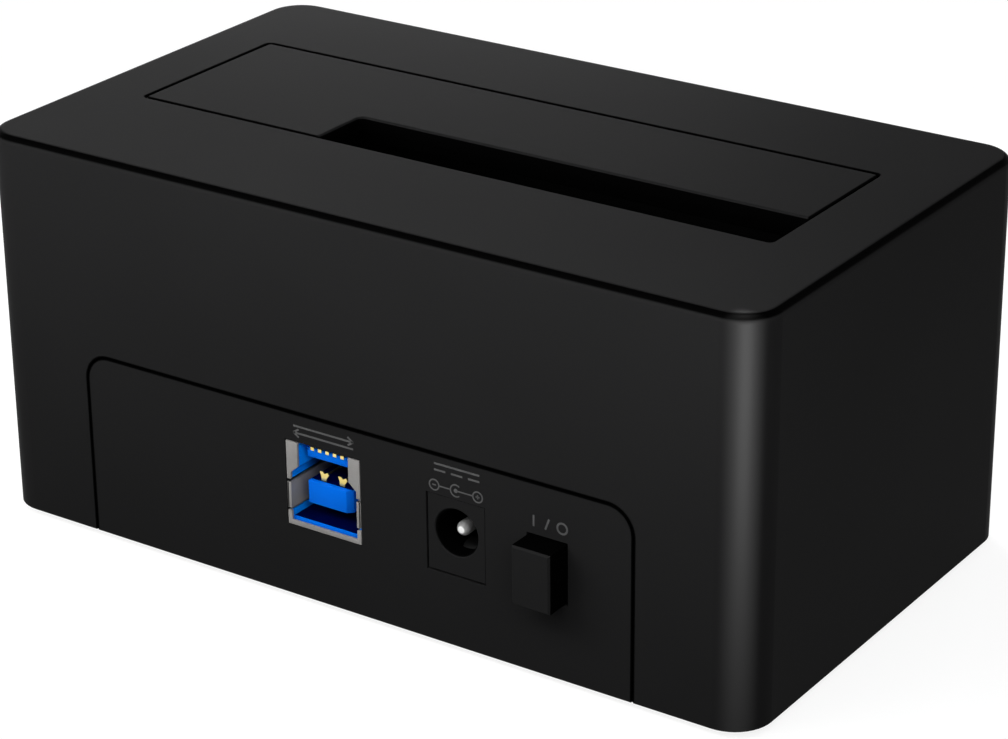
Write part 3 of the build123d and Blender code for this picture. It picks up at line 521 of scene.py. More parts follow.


# Near-black painted shade for the lip behind the seam
gap_painted_shade = moulded_plastic("gap_painted_shade", DEEP_SHADE, (0.0012, 0.0012, 0.0012))
# Painted shade along the top edge, seam and flap gap, and a painted sheen on the upright corner
housing_black = moulded_plastic(
    "housing_black", *BLACK, shade=housing_shade, painted_sheen=corner_painted_sheen
)
flap_black = moulded_plastic("flap_black", *BLACK, shade=flap_shade)
tray_black = moulded_plastic("tray_black", *BLACK, grain=0.35, shade=seam_shade)
liner_black = moulded_plastic("liner_black", (0.009, 0.009, 0.009), (0.011, 0.011, 0.011))
# Painted shade: the jack darkens behind its front face, into its bore
jack_black = moulded_plastic("jack_black", *BLACK, grain=0.2, shade=behind(BEHIND_PORT_FACE))
# Painted shade: the button darkens behind its front face
button_black = moulded_plastic(
    "button_black", *BLACK, grain=0.2, shade=behind(BEHIND_BUTTON_FACE)
)
receptacle_black = moulded_plastic(
    "receptacle_black", (0.05, 0.05, 0.052), (0.06, 0.06, 0.062),
    roughness=(0.35, 0.5), gloss=0.3, grain=0.3,
)
switch_black = moulded_plastic(
    "switch_black", (0.01, 0.01, 0.011), (0.015, 0.015, 0.016),
    roughness=(0.35, 0.45), gloss=0.3, grain=0.2,
)
plunger_white = moulded_plastic(
    "plunger_white", (0.55, 0.55, 0.52), (0.62, 0.62, 0.6),
    roughness=(0.35, 0.45), gloss=0.4, grain=0.2,
)
foot_rubber = moulded_plastic(
    "foot_rubber", (0.012, 0.012, 0.012), (0.02, 0.02, 0.02),
    roughness=(0.7, 0.85), gloss=0.2, grain=0.5, depth=0.02, drift=4.0,
)
chip_epoxy = moulded_plastic(
    "chip_epoxy", (0.012, 0.012, 0.013), (0.02, 0.02, 0.021),
    roughness=(0.5, 0.65), gloss=0.3, grain=0.12, depth=0.006, drift=3.0,
)
ferrite = moulded_plastic(
    "ferrite", (0.04, 0.04, 0.043), (0.07, 0.07, 0.074),
    roughness=(0.5, 0.7), gloss=0.3, grain=0.15, depth=0.01, drift=2.0,
)
ceramic_tan = moulded_plastic(
    "ceramic_tan", (0.22, 0.15, 0.09), (0.36, 0.27, 0.18),
    roughness=(0.4, 0.55), gloss=0.4, grain=0.2, depth=0.004, drift=1.5,
)
lens_white = moulded_plastic(
    "lens_white", (0.75, 0.76, 0.7), (0.82, 0.83, 0.78),
    roughness=(0.2, 0.3), gloss=0.5, grain=0.3, depth=0.002, drift=2.0,
)
sign_grey = moulded_plastic(
    "sign_grey", (0.058, 0.058, 0.059), (0.078, 0.078, 0.078),
    roughness=(0.5, 0.6), gloss=0.2, grain=0.12, depth=0.002, drift=1.0,
)


def socket_finish(name, dark, light, gloss, **more):
    """The glossier moulded plastic of the data socket."""
    return moulded_plastic(
        name, dark, light, gloss=gloss, grain=0.15, depth=0.002, drift=5.0, **more
    )


socket_blue = socket_finish(
    "socket_blue", (0.0, 0.13, 0.68), (0.0, 0.14, 0.74), 0.05, roughness=(0.4, 0.5)
)
# A lighter copy of the socket's blue, as painted light on the liners, with painted shade deepening
# into the socket
liner_blue_painted_light_and_shade = socket_finish(
    "liner_blue_painted_light_and_shade", (0.0, 0.24, 0.95), (0.0, 0.26, 1.0), 0.05,
    roughness=(0.4, 0.5), shade=behind(INTO_SOCKET),
)
# Near-black navy: painted shade for the inside of the socket
socket_painted_shade = socket_finish(
    "socket_painted_shade", (0.0, 0.001, 0.03), (0.0, 0.0015, 0.04), 0.01, roughness=(0.5, 0.6)
)

socket_tin = worked_metal(
    "socket_tin", (0.23, 0.223, 0.216), (0.27, 0.263, 0.256), (0.6, 0.7), metallic=0.2
)
contact_gilt = worked_metal("contact_gilt", (0.85, 0.66, 0.2), (0.95, 0.78, 0.3), (0.3, 0.45))
nickel_bright = worked_metal("nickel_bright", (0.7, 0.7, 0.69), (0.8, 0.8, 0.79), (0.15, 0.3))
# Painted shade: the pin's end darkens round its rim, so that its flat end reads as rounded
pin_nickel = worked_metal(
    "pin_nickel", (0.85, 0.85, 0.84), (0.92, 0.92, 0.91), (0.5, 0.6), metallic=0.3,
    shade=lambda tree, place: outline_band(tree, place, *PIN_ROUND),
)
pin_steel = worked_metal("pin_steel", (0.45, 0.45, 0.46), (0.6, 0.6, 0.61), (0.25, 0.4))
# Painted shade: the jack's contact spring is coloured near black, as it sits in the dark bore
spring_painted_shade = worked_metal(
    "spring_painted_shade", (0.008, 0.008, 0.008), (0.012, 0.012, 0.012), (0.4, 0.5), metallic=0.5
)
spring_wire = worked_metal("spring_wire", (0.4, 0.4, 0.41), (0.52, 0.52, 0.53), (0.25, 0.42))
screw_black = worked_metal("screw_black", (0.02, 0.02, 0.021), (0.05, 0.05, 0.052), (0.35, 0.5))
pressed_can = worked_metal("pressed_can", (0.55, 0.55, 0.56), (0.7, 0.7, 0.71), (0.25, 0.4))

TRACK_SCALE, TRACK_WIDTH = 260.0, 0.06
MASK_GREEN, TRACK_GREEN = (0.004, 0.05, 0.02), (0.015, 0.13, 0.05)
TRACK_HEIGHT, BOARD_ROUGHNESS = 0.02, 0.35
ACRYLIC_INDEX = 1.49


def board_green_material():
    """Solder mask over copper: a darker ground with slightly raised lighter tracks."""
    material, tree, shader, place = material_of("board_green")
    cells = node(
        tree, "ShaderNodeTexVoronoi", [("Vector", place)],
        feature="DISTANCE_TO_EDGE", Scale=TRACK_SCALE,
    )
    tracks = maths(tree, "LESS_THAN", cells.outputs["Distance"], TRACK_WIDTH)
    tree.links.new(tinted(tree, tracks, MASK_GREEN, TRACK_GREEN), shader.inputs["Base Color"])
    shader.inputs["Roughness"].default_value = BOARD_ROUGHNESS
    bumped(tree, shader, tracks, TRACK_HEIGHT)
    return material


def clear_acrylic_material():
    """Clear acrylic with the faint waviness of a moulded face."""
    material, tree, shader, place = material_of("clear_acrylic")
    texture = node(tree, "ShaderNodeGroup", node_tree=moulded_texture)
    tree.links.new(place, texture.inputs["Vector"])
    tree.links.new(spread(tree, texture.outputs["Grain"], 0.08, 0.2), shader.inputs["Roughness"])
    shader.inputs["Base Color"].default_value = (0.85, 0.88, 0.9, 1)
    shader.inputs["Transmission Weight"].default_value = 0.9
    shader.inputs["IOR"].default_value = ACRYLIC_INDEX
    bumped(tree, shader, texture.outputs["Drift"], 0.004)
    return material


board_green = board_green_material()
clear_acrylic = clear_acrylic_material()

FINISH = {
    "top_shell": housing_black,
    "flap": flap_black,
    "base_tray": tray_black,
    "bay_liner": liner_black,
    "hinge_pins": pin_steel,
    "flap_springs": spring_wire,
    "rubber_feet": foot_rubber,
    "main_board": board_green,
    "board_screws": screw_black,
    "liner_screws": screw_black,
    "base_screws": screw_black,
    "sata_receptacle": receptacle_black,
    "sata_contacts": contact_gilt,
    "usb_shell": socket_tin,
    "usb_insulator": socket_blue,
    "usb_upper_contacts": contact_gilt,
    "usb_lower_contacts": contact_gilt,
    "dc_jack_body": jack_black,
    "dc_jack_pin": pin_nickel,
    "dc_jack_spring": spring_painted_shade,
    "dc_jack_terminals": nickel_bright,
    "power_button": button_black,
    "switch_body": switch_black,
    "switch_plunger": plunger_white,
    "switch_spring": spring_wire,
    "switch_terminals": nickel_bright,
    "bridge_chip": chip_epoxy,
    "flash_chip": chip_epoxy,
    "crystal": pressed_can,
    "capacitors": pressed_can,
    "power_inductors": ferrite,
    "voltage_regulators": chip_epoxy,
    "board_passives": ceramic_tan,
    "status_led": lens_white,
    "light_pipe": clear_acrylic,
}
for name, finish in FINISH.items():
    slots = nodes[name].data.materials
    slots.clear()
    slots.append(finish)

# The data socket
# Measures in millimetres across the socket's front, from its lower left corner

shell_low, shell_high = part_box("usb_shell")
SOCKET_X, SOCKET_Z = shell_low.x / MM, shell_low.z / MM
SOCKET_WIDTH = (shell_high.x - shell_low.x) / MM
SOCKET_HEIGHT = (shell_high.z - shell_low.z) / MM
SOCKET_BACK = shell_high.y / MM
SHEET = 0.3
FOLD = SHEET + 0.1
FIT = 0.02
PAST = 0.1
INSIDE = SHEET + FIT
LIP = 0.65
FLANK = 1.9
SHOULDER = 8.9
SHOULDER_FOOT = 7.8
SLITS = ((6.33, 6.78), (2.05, 2.45))
FINGER_DEPTH = 10.2
FINGER_LENGTH = 9.7
FINGER_OUTER = 0.05
FINGER_FOLD = 0.4
FOLD_STEPS = 5
TOUCHING = 1e-6
SHELL_EASE, PLASTIC_EASE, BLOCK_EASE, CONTACT_EASE = 0.05, 0.06, 0.08, 0.06
THROAT_FLOOR = 0.65
LINER_FLOOR = 1.1


def both_sides(points):
    """An outline on the left of the socket, and the same on its right."""
    mirrored = [(SOCKET_WIDTH - x, z) for x, z in reversed(points)]
    return [[(SOCKET_X + x, SOCKET_Z + z) for x, z in side] for side in (points, mirrored)]


def socket_box(x0, x1, z0, z1):
    return rectangle(SOCKET_X + x0, SOCKET_X + x1, SOCKET_Z + z0, SOCKET_Z + z1)


THROAT = [
    (LIP, THROAT_FLOOR),
    (SOCKET_WIDTH - LIP, THROAT_FLOOR),
    (SOCKET_WIDTH - LIP, SHOULDER_FOOT),
    (SOCKET_WIDTH - FLANK, SHOULDER),
    (SOCKET_WIDTH - FLANK, SOCKET_HEIGHT + SHEET),
    (FLANK, SOCKET_HEIGHT + SHEET),
    (FLANK, SHOULDER),
    (LIP, SHOULDER_FOOT),
]


def socket_shell():
    """The folded tin shell: a sheath, its turned-in front, and a spring finger on each side."""
    outer = (socket_box(0, SOCKET_WIDTH, 0, SOCKET_HEIGHT), PORT_Y, SOCKET_BACK)
    room = (
        socket_box(SHEET, SOCKET_WIDTH - SHEET, SHEET, SOCKET_HEIGHT - SHEET),
        PORT_Y + FOLD,
        SOCKET_BACK - SHEET,
    )
    throat = ([(SOCKET_X + x, SOCKET_Z + z) for x, z in THROAT], PORT_Y - BEYOND, PORT_Y + BEYOND)
    slits = [
        (outline, PORT_Y - BEYOND, PORT_Y + FINGER_DEPTH)
        for low, high in SLITS
        for outline in both_sides(rectangle(-PAST, LIP + PAST, low, high))
    ]
    fingers = [
        (outline, PORT_Y, PORT_Y + FINGER_LENGTH)
        for outline in both_sides(rectangle(FINGER_OUTER, LIP, SLITS[1][1], SLITS[0][0]))
    ]
    shell = combined("socket_shell", [outer], [room, throat, *slits])
    return smooth(eased(shell, SHELL_EASE)), fingers


shell_mesh, finger_prisms = socket_shell()
new_piece("socket_shell", shell_mesh, "root", socket_tin, ["usb_shell"])


def spring_fingers():
    """The two side fingers, folded round at the front and running back into the socket."""
    bm = bmesh.new()
    bm.from_mesh(mesh_of("fingers", finger_prisms))
    middle = (SOCKET_X + SOCKET_WIDTH / 2) * MM
    inner = (SOCKET_WIDTH / 2 - LIP) * MM
    fold = [
        e
        for e in bm.edges
        if all(
            abs(v.co.y - PORT_Y * MM) < TOUCHING
            and abs(abs(v.co.x - middle) - inner) < TOUCHING
            for v in e.verts
        )
    ]
    bmesh.ops.bevel(
        bm, geom=fold, offset=FINGER_FOLD * MM, segments=FOLD_STEPS, profile=0.5, affect="EDGES"
    )
    return smooth(finished(bm, "spring_fingers"))


new_piece("spring_fingers", spring_fingers(), "root", socket_tin)

TONGUE_DROP = 0.4
TONGUE_TOP = SOCKET_HEIGHT - SHEET - TONGUE_DROP
TONGUE_HEIGHT = 1.35
TONGUE_WIDTH, TONGUE_MORE = 6.5, 0.9
TONGUE_X = ((SOCKET_WIDTH - TONGUE_WIDTH) / 2, (SOCKET_WIDTH + TONGUE_WIDTH) / 2 + TONGUE_MORE)
TONGUE_RECESS = 1.0
BLOCK_LEFT, BLOCK_RIGHT = 7.2, 7.0
BLOCK_DROP, BLOCK_HEIGHT = 5.9, 3.35
BLOCK_X = ((SOCKET_WIDTH - BLOCK_LEFT) / 2, (SOCKET_WIDTH + BLOCK_RIGHT) / 2)
BLOCK_Z = (SOCKET_HEIGHT - BLOCK_DROP - BLOCK_HEIGHT, SOCKET_HEIGHT - BLOCK_DROP)
BLOCK_RECESS = 1.4
BLOCK_CHAMFER = 0.75
BLOCK_ANGLE = 25.0
BACK_DEPTH = 8.0
LINER_START = PORT_Y + FOLD + FIT
FLOOR_START = PORT_Y + FOLD + 0.05
SHADE_START = PORT_Y + FOLD + 0.25
SKIN = 0.05


def socket_plastic():
    """The blue moulding: liners behind the shell's front, a floor, two tongues and a back."""
    back = SOCKET_BACK - BACK_DEPTH
    high = SLITS[0][1] + PAST
    top = SOCKET_HEIGHT - INSIDE
    upper_liners = both_sides(
        [
            (INSIDE, high),
            (LIP, high),
            (LIP, SHOULDER_FOOT),
            (FLANK, SHOULDER),
            (FLANK, top),
            (INSIDE, top),
        ]
    )
    lower_liners = both_sides(rectangle(INSIDE, LIP, INSIDE, SLITS[1][0] - SKIN))
    solids = [
        (socket_box(INSIDE, SOCKET_WIDTH - INSIDE, INSIDE, top), back, SOCKET_BACK - INSIDE),
        (
            socket_box(LIP - PAST, SOCKET_WIDTH - LIP + PAST, INSIDE, LINER_FLOOR),
            FLOOR_START,
            back + BEYOND,
        ),
        (
            socket_box(*TONGUE_X, TONGUE_TOP - TONGUE_HEIGHT, TONGUE_TOP),
            PORT_Y + TONGUE_RECESS,
            back + BEYOND,
        ),
    ]
    liners = [(outline, LINER_START, back - FIT) for outline in upper_liners + lower_liners]
    body = smooth(eased(combined("socket_plastic", solids), PLASTIC_EASE))
    return body, smooth(mesh_of("socket_liners", liners))


def socket_block():
    """The lower block that the plug closes over, with its wide corner chamfers."""
    bm = bmesh.new()
    x0, x1 = (SOCKET_X + v for v in BLOCK_X)
    z0, z1 = (SOCKET_Z + v for v in BLOCK_Z)
    front, back = PORT_Y + BLOCK_RECESS, SOCKET_BACK - BACK_DEPTH + BEYOND
    cut = BLOCK_CHAMFER
    plan = [(x0, front), (x1 - cut, front), (x1, front + cut), (x1, back), (x0, back)]
    low = [bm.verts.new((x * MM, y * MM, z0 * MM)) for x, y in plan]
    high = [bm.verts.new((x * MM, y * MM, z1 * MM)) for x, y in plan]
    bm.faces.new(low)
    bm.faces.new(list(reversed(high)))
    for i, corner in enumerate(low):
        j = (i + 1) % len(low)
        bm.faces.new((corner, low[j], high[j], high[i]))
    return smooth(eased(finished(bm, "socket_block"), BLOCK_EASE, segments=3), BLOCK_ANGLE)


plastic_mesh, liner_mesh = socket_plastic()
new_piece("socket_plastic", plastic_mesh, "root", socket_blue, ["usb_insulator"])
new_piece("socket_liners", liner_mesh, "root", liner_blue_painted_light_and_shade)
new_piece("socket_block", socket_block(), "root", socket_blue)


def socket_depths():
    """Painted shade: near-black navy sheets laid on the blue moulding's floor, its back wall and
    the block's top.
    """
    back = SOCKET_BACK - BACK_DEPTH
    low, high = LIP + FIT, SOCKET_WIDTH - LIP - FIT
    roof = SOCKET_HEIGHT - SHEET - PAST
    slabs = (
        (socket_box(low, high, LINER_FLOOR, LINER_FLOOR + SKIN), SHADE_START, back),
        (socket_box(low, high, LINER_FLOOR + SKIN, SHOULDER_FOOT), back - SKIN, back),
        (
            socket_box(FLANK + FIT, SOCKET_WIDTH - FLANK - FIT, SHOULDER, roof),
            back - SKIN,
            back,
        ),
        (
            socket_box(
                BLOCK_X[0] + PAST, BLOCK_X[1] - PAST, BLOCK_Z[1] - FIT / 2, BLOCK_Z[1] + SKIN
            ),
            PORT_Y + BLOCK_RECESS + BLOCK_CHAMFER - PAST,
            back,
        ),
    )
    return mesh_of("socket_depths", slabs)


new_piece("socket_depths", socket_depths(), "root", socket_painted_shade)


LIP_BEHIND_WALL = (2.02, 2.4)
LIP_SPAN = (-0.7, 1.0)
LIP_FOOT = (1.02, 1.5)
SEAM_FILL, FILL_START = 0.13, 0.2


def seam_lip():
    """A thin lip behind the panel's seam, so that no light comes through it, coloured near black as
    painted shade.
    """
    _, (_, middle), (half_x, half_z), radius, _ = PANEL_SEAM
    top = middle + half_z
    front, back = (PORT_Y + depth for depth in LIP_BEHIND_WALL)

    def arch(grow, steps=8):
        r = radius + grow
        corner = (half_x - radius, top - radius)
        turn = [math.radians(90 * i / steps) for i in range(steps + 1)]
        right = [(corner[0] + r * math.cos(t), corner[1] + r * math.sin(t)) for t in turn]
        path = [(half_x + grow, LIP_FOOT[0]), *right]
        return path + [(-x, z) for x, z in reversed(path)]

    inner, outer = LIP_SPAN
    bm = bmesh.new()
    rows = [
        [bm.verts.new((x * MM, y * MM, z * MM)) for x, z in arch(grow)]
        for grow, y in ((inner, front), (outer, front), (outer, back), (inner, back))
    ]
    for first, second in zip(rows, rows[1:] + rows[:1]):
        for i in range(len(first) - 1):
            bm.faces.new((first[i], first[i + 1], second[i + 1], second[i]))
    for end in (0, -1):
        bm.faces.new([row[end] for row in rows])
    for side in (-1, 1):
        x = side * half_x
        outline = rectangle(x - SEAM_FILL, x + SEAM_FILL, *LIP_FOOT)
        prism(bm, outline, PORT_Y + FILL_START, front - FIT / 2)
    return finished(bm, "seam_lip")


new_piece("seam_lip", seam_lip(), "root", gap_painted_shade)

UPPER_COUNT, LOWER_COUNT = 5, 2
UPPER_PITCH = 1.255
UPPER_CONTACT = (0.6, 0.5)
UPPER_LENGTH = 6.0
UPPER_SHIFT, UPPER_ABOVE, UPPER_AHEAD = 0.1, 0.16, 0.08
LOWER_PITCH = 3.1
LOWER_SHIFT, LOWER_RECESS = 0.05, 0.75
CONTACT_SHEET = 0.22
TAIL, TAIL_LENGTH = (0.38, 0.6, 1.0, 1.22), 8.0
FORK = [
    (-0.42, -0.3), (0.36, -0.3), (0.4, 0.4), (0.85, 1.1), (0.62, 1.4),
    (0.1, 1.12), (-0.16, 1.42), (-0.68, 1.4), (-0.44, 0.7),
]


def upper_contacts():
    """Five gilt contact ends lying along the upper tongue's front edge."""
    width, height = UPPER_CONTACT
    half_row = (UPPER_COUNT - 1) / 2 * UPPER_PITCH
    x0 = SOCKET_WIDTH / 2 + UPPER_SHIFT - half_row - width / 2
    z1 = TONGUE_TOP + UPPER_ABOVE
    front = PORT_Y + TONGUE_RECESS - UPPER_AHEAD
    box = socket_box(x0, x0 + width, z1 - height, z1)
    one = mesh_of("one", [(box, front, front + UPPER_LENGTH)])
    return in_row(eased(one, CONTACT_EASE), UPPER_COUNT, (UPPER_PITCH, 0, 0), contact_gilt)


def lower_contacts():
    """Two forked spring contacts on the lower block, each with a thin tail running back."""
    x = SOCKET_X + SOCKET_WIDTH / 2 - LOWER_PITCH / 2 + LOWER_SHIFT
    z = SOCKET_Z + BLOCK_Z[1]
    front = PORT_Y + BLOCK_RECESS + LOWER_RECESS
    fork = ([(x + a, z + b) for a, b in FORK], front, front + CONTACT_SHEET)
    left, right, low, high = TAIL
    tail = (
        rectangle(x + left, x + right, z + low, z + high),
        front + CONTACT_SHEET / 2,
        front + TAIL_LENGTH,
    )
    bm = bmesh.new()
    bm.from_mesh(mesh_of("one", (fork, tail)))
    bmesh.ops.triangulate(bm, faces=[f for f in bm.faces if len(f.verts) > 4])
    return in_row(finished(bm, "one"), LOWER_COUNT, (LOWER_PITCH, 0, 0), contact_gilt)


new_piece(
    "upper_contacts", upper_contacts(), "root", contact_gilt, ["usb_upper_contacts"]
)
new_piece(
    "lower_contacts", lower_contacts(), "root", contact_gilt, ["usb_lower_contacts"]
)

# The switch's spring


def coil(name, low, high, wire, turns, steps=16, sides=8):
    """A wound wire spring along Y that fills the space from low to high."""
    middle = (low + high) / 2
    radius = (high.x - low.x - wire) / 2
    length = high.y - low.y - wire
    slope = math.atan2(length / turns, 2 * math.pi * radius)
    bm = bmesh.new()
    rings = []
    for i in range(turns * steps + 1):
        t = 2 * math.pi * i / steps
        out = Vector((math.cos(t), 0, math.sin(t)))
        level = Vector((-math.sin(t), 0, math.cos(t)))
        along = level * math.cos(slope) + Vector((0, math.sin(slope), 0))
        across = along.cross(out)
        centre = Vector((middle.x, low.y + wire / 2 + length * i / (turns * steps), middle.z))
        centre += out * radius
        angles = [2 * math.pi * j / sides for j in range(sides)]
        rings.append(
            [
                bm.verts.new(centre + (out * math.cos(a) + across * math.sin(a)) * wire / 2)
                for a in angles
            ]
        )
    for first, second in zip(rings, rings[1:]):
        for j in range(sides):
            k = (j + 1) % sides
            bm.faces.new((first[j], first[k], second[k], second[j]))
    for end in (rings[0], rings[-1]):
        bm.faces.new(end)
    return smooth(finished(bm, name), COIL_ANGLE)


SPRING_WIRE = 0.4 * MM
SPRING_TURNS = 6
COIL_ANGLE = 60.0
spring_low, spring_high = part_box("switch_spring")
return_spring = new_piece(
    "return_spring",
    coil("return_spring", spring_low, spring_high, SPRING_WIRE, SPRING_TURNS),
    "root",
    spring_wire,
    ["switch_spring"],
)
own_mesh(return_spring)

# Printed signs


def ring(bm, centre, radius, stroke, start=0.0, sweep=360.0, steps=40):
    """A flat ring or an open arc, as a band of faces in X and Z."""
    inner, outer = [], []
    closed = sweep >= 360
    count = steps if closed else steps + 1
    for i in range(count):
        a = math.radians(start + sweep * i / steps)
        for row, r in ((inner, radius - stroke / 2), (outer, radius + stroke / 2)):
            row.append(bm.verts.new((centre[0] + r * math.cos(a), 0, centre[1] + r * math.sin(a))))
    for i in range(count if closed else count - 1):
        j = (i + 1) % count
        bm.faces.new((inner[i], outer[i], outer[j], inner[j]))


def bar(bm, a, b, stroke):
    """A flat straight stroke from a to b."""
    a, b = Vector((a[0], 0, a[1])), Vector((b[0], 0, b[1]))
    side = (b - a).normalized().cross(Vector((0, 1, 0))) * stroke / 2
    bm.faces.new([bm.verts.new(p) for p in (a - side, b - side, b + side, a + side)])


SIGN_ROOT = 0.02
STROKE, FINE_STROKE = 0.28, 0.2


def sign(name, draw, place):
    """A printed sign: flat strokes with a print's thickness, on the port wall."""
    bm = bmesh.new()
    draw(bm)
    for v in bm.verts:
        x, z = place[0] + v.co.x, place[1] + v.co.z
        v.co = Vector((x, PORT_Y - SIGN_PROUD, z)) * MM
    bm.normal_update()
    out = bmesh.ops.extrude_face_region(bm, geom=list(bm.faces))
    for element in out["geom"]:
        if isinstance(element, bmesh.types.BMVert):
            element.co.y += (SIGN_PROUD + SIGN_ROOT) * MM
    return new_piece(name, finished(bm, name), "root", sign_grey)


def draw_data_arrows(bm):
    """Two arrows, one each way: data in and out."""
    reach, apart, head, flare = 5.0, 0.5, 0.9, 0.6
    for way in (1, -1):
        tip = (reach * way, apart * way)
        bar(bm, (-tip[0], tip[1]), tip, STROKE)
        for side in (flare, -flare):
            bar(bm, tip, (tip[0] - head * way, tip[1] + side), STROKE)


def draw_direct_current(bm):
    """A solid line over a broken one: direct current."""
    reach, apart, dash = 3.6, 0.45, 0.9
    bar(bm, (-reach, apart), (reach, apart), STROKE)
    for x in (dash - reach, 0.0, reach - dash):
        bar(bm, (x - dash, -apart), (x + dash, -apart), STROKE)


def draw_polarity(bm):
    """Centre positive: a ring with a minus, the barrel with its pin, and a ring with a plus."""
    reach, end_ring, cup, mark = 3.45, 0.75, 0.85, 0.3
    near = reach - end_ring - 0.03
    for side in (-1, 1):
        ring(bm, (side * reach, 0), end_ring, FINE_STROKE)
        bar(bm, (side * reach - mark, 0), (side * reach + mark, 0), FINE_STROKE)
    bar(bm, (reach, -mark), (reach, mark), FINE_STROKE)
    ring(bm, (0, 0), cup, FINE_STROKE, start=50, sweep=260)
    ring(bm, (0, 0), 0.16, 0.3, steps=16)
    bar(bm, (-near, 0), (-cup, 0), FINE_STROKE)
    bar(bm, (FINE_STROKE, 0), (near, 0), FINE_STROKE)


def draw_power(bm):
    """On and off: a stroke and a ring, parted by a slanted stroke."""
    reach, half, circle = 2.2, 0.8, 0.75
    bar(bm, (-reach, -half), (-reach, half), STROKE)
    bar(bm, (-0.4, -half), (0.2, half), STROKE)
    ring(bm, (reach, 0), circle, STROKE)


sign("data_sign", draw_data_arrows, DATA_SIGN)
sign("direct_current_sign", draw_direct_current, DC_SIGN)
sign("polarity_sign", draw_polarity, POLARITY_SIGN)
sign("power_sign", draw_power, POWER_SIGN)

# Floor, light and camera

FLOOR_SIZE = 4.0
floor_mesh = bpy.data.meshes.new("floor")
floor_mesh.from_pydata(
    [(x * FLOOR_SIZE, y * FLOOR_SIZE, 0) for x, y in ((-1, -1), (1, -1), (1, 1), (-1, 1))],
    [],
    [(0, 1, 2, 3)],
)
floor = bpy.data.objects.new("floor", floor_mesh)
scene.collection.objects.link(floor)


def seen_rays(tree):
    """One for camera, glossy and transmission rays, and nought for the rest."""
    path = node(tree, "ShaderNodeLightPath").outputs
    first = maths(tree, "ADD", path["Is Camera Ray"], path["Is Glossy Ray"])
    return node(
        tree,
        "ShaderNodeMath",
        [(0, first), (1, path["Is Transmission Ray"])],
        operation="ADD",
        use_clamp=True,
    ).outputs[0]


WHITE = (1, 1, 1, 1)
FLOOR_COLOUR = 0.2
FLOOR_GLOW = 0.86


def floor_material():
    """A white floor that keeps the object's shadow."""
    material, tree, shader, _ = material_of("floor_white")
    shader.inputs["Base Color"].default_value = (FLOOR_COLOUR,) * 3 + (1,)
    shader.inputs["Roughness"].default_value = 1.0
    shader.inputs["Specular IOR Level"].default_value = 0.0
    glow = maths(tree, "MULTIPLY", seen_rays(tree), FLOOR_GLOW)
    shader.inputs["Emission Color"].default_value = WHITE
    tree.links.new(glow, shader.inputs["Emission Strength"])
    return material


floor_mesh.materials.append(floor_material())

WORLD_AMBIENT = 0.22
HORIZON_LEVEL = 1.0
BACKDROP_TOP, BACKDROP_END = 0.15, 0.6


def studio_world():
    """Soft light from all round, and behind everything a white backdrop that ends overhead."""
    world = bpy.data.worlds.new("studio")
    world.use_nodes = True
    scene.world = world
    tree = world.node_tree
    tree.nodes.clear()
    out = tree.nodes.new("ShaderNodeOutputWorld")
    way = node(tree, "ShaderNodeTexCoord").outputs["Generated"]
    height = node(tree, "ShaderNodeSeparateXYZ", [(0, way)]).outputs["Z"]
    fade = ranged(tree, height, BACKDROP_TOP, BACKDROP_END, 1.0, 0.0, "SMOOTHSTEP")
    backdrop = node(tree, "ShaderNodeBackground", [("Color", fade)])
    backdrop.inputs["Strength"].default_value = HORIZON_LEVEL
    ambient = node(tree, "ShaderNodeBackground", Strength=WORLD_AMBIENT)
    ambient.inputs["Color"].default_value = WHITE
    mixed = node(
        tree,
        "ShaderNodeMixShader",
        [(0, seen_rays(tree)), (1, ambient.outputs[0]), (2, backdrop.outputs[0])],
    )
    tree.links.new(mixed.outputs[0], out.inputs[0])


studio_world()


def soft_lamp(name, place, aim, width, height, level):
    """A soft box at a place in metres. Its level is what it gives a white face turned to it."""
    data = bpy.data.lights.new(name, "AREA")
    data.shape = "RECTANGLE"
    data.size, data.size_y = width, height
    place, aim = Vector(place), Vector(aim)
    data.energy = level * math.pi**2 * (aim - place).length_squared
    lamp = bpy.data.objects.new(name, data)
    lamp.location = place
    lamp.rotation_mode = "QUATERNION"
    lamp.rotation_quaternion = (aim - place).to_track_quat("-Z", "Y")
    lamp.visible_camera = False
    scene.collection.objects.link(lamp)
    return lamp


MIDDLE = Vector((0, 0, 0.03))


def around(azimuth, elevation, distance):
    """A place round the object: the azimuth is 0 before the port wall and 90 at the right."""
    a, e = math.radians(azimuth), math.radians(elevation)
    way = Vector((math.sin(a) * math.cos(e), -math.cos(a) * math.cos(e), math.sin(e)))
    return MIDDLE + way * distance


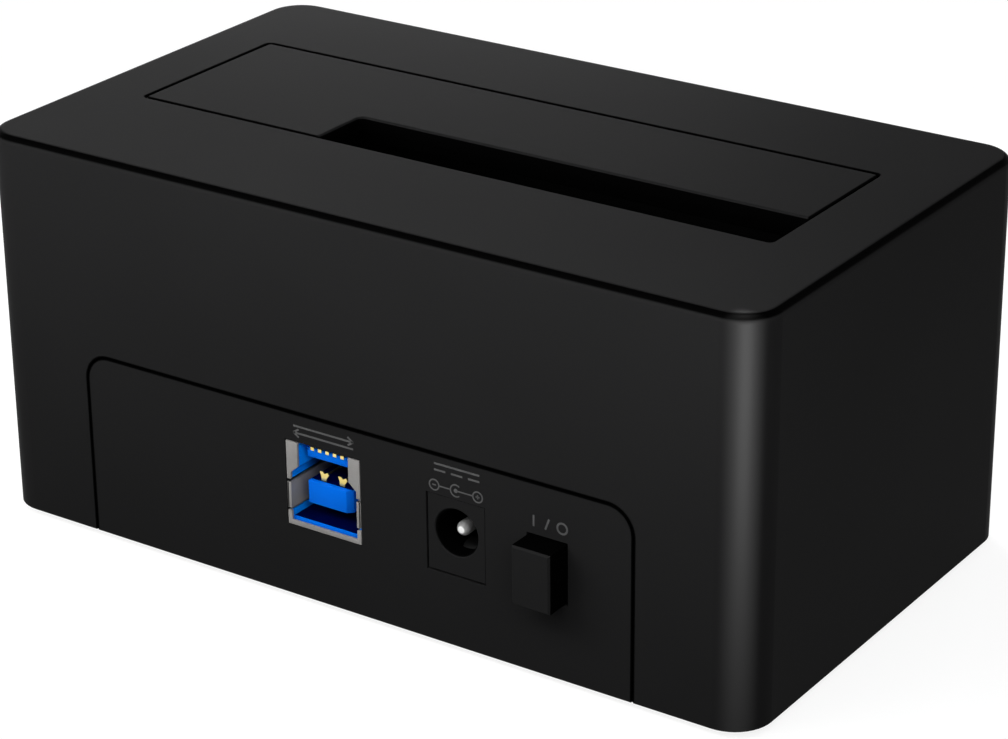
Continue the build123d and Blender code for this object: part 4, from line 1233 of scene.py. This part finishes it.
# Each lamp's place, aim, width, height and level, and whether gloss and matt faces show it
LAMPS = {
    "front_bank": ((-0.03, -0.083, 0.078), (-0.03, -0.034, 0.055), 0.32, 0.03, 5.1, False, True),
    "key": (around(-40, 35, 1.2), MIDDLE, 0.7, 0.7, 0.26, True, True),
    "back_left": (around(-130, 5, 0.7), MIDDLE, 0.6, 0.4, 0.3, True, True),
    "overhead": (around(0, 85, 1.0), MIDDLE, 0.8, 0.8, 0.1, True, True),
    "corner_card": (
        (0.1, -0.078, 0.0275), (0.0625, -0.034, 0.0275), 0.036, 0.053, 0.3, True, False
    ),
    "fill": (around(52, 15, 1.0), MIDDLE, 0.5, 0.5, 0.1, False, True),
    "far_corner": ((-0.09, 0.12, 0.1), (-0.03, 0.03, 0.058), 0.1, 0.05, 2.5, False, True),
    "back_fill": (around(178, 8, 1.2), MIDDLE, 0.8, 0.8, 0.9, False, True),
}
for name, (*setting, in_gloss, in_matt) in LAMPS.items():
    lamp = soft_lamp(name, *setting)
    lamp.visible_glossy = in_gloss
    lamp.visible_diffuse = in_matt

CAMERA_PLACE = (0.2365, -0.34132, 0.20931)
CAMERA_AZIMUTH, CAMERA_ELEVATION, CAMERA_ROLL = 34.436, 24.004, 0.533
LENS, SENSOR_WIDTH = 115.26, 36.0
NEAREST, FARTHEST = 0.02, 20.0
camera = bpy.data.objects.new("camera", bpy.data.cameras.new("camera"))
scene.collection.objects.link(camera)
camera.data.lens = LENS
camera.data.sensor_width = SENSOR_WIDTH
camera.data.clip_start, camera.data.clip_end = NEAREST, FARTHEST
camera.rotation_mode = "QUATERNION"
turn = (
    Matrix.Rotation(math.radians(CAMERA_AZIMUTH), 3, "Z")
    @ Matrix.Rotation(math.radians(90 - CAMERA_ELEVATION), 3, "X")
    @ Matrix.Rotation(math.radians(-CAMERA_ROLL), 3, "Z")
)
camera.rotation_quaternion = turn.to_quaternion()
camera.location = CAMERA_PLACE
scene.camera = camera
scene.view_settings.view_transform = "Standard"
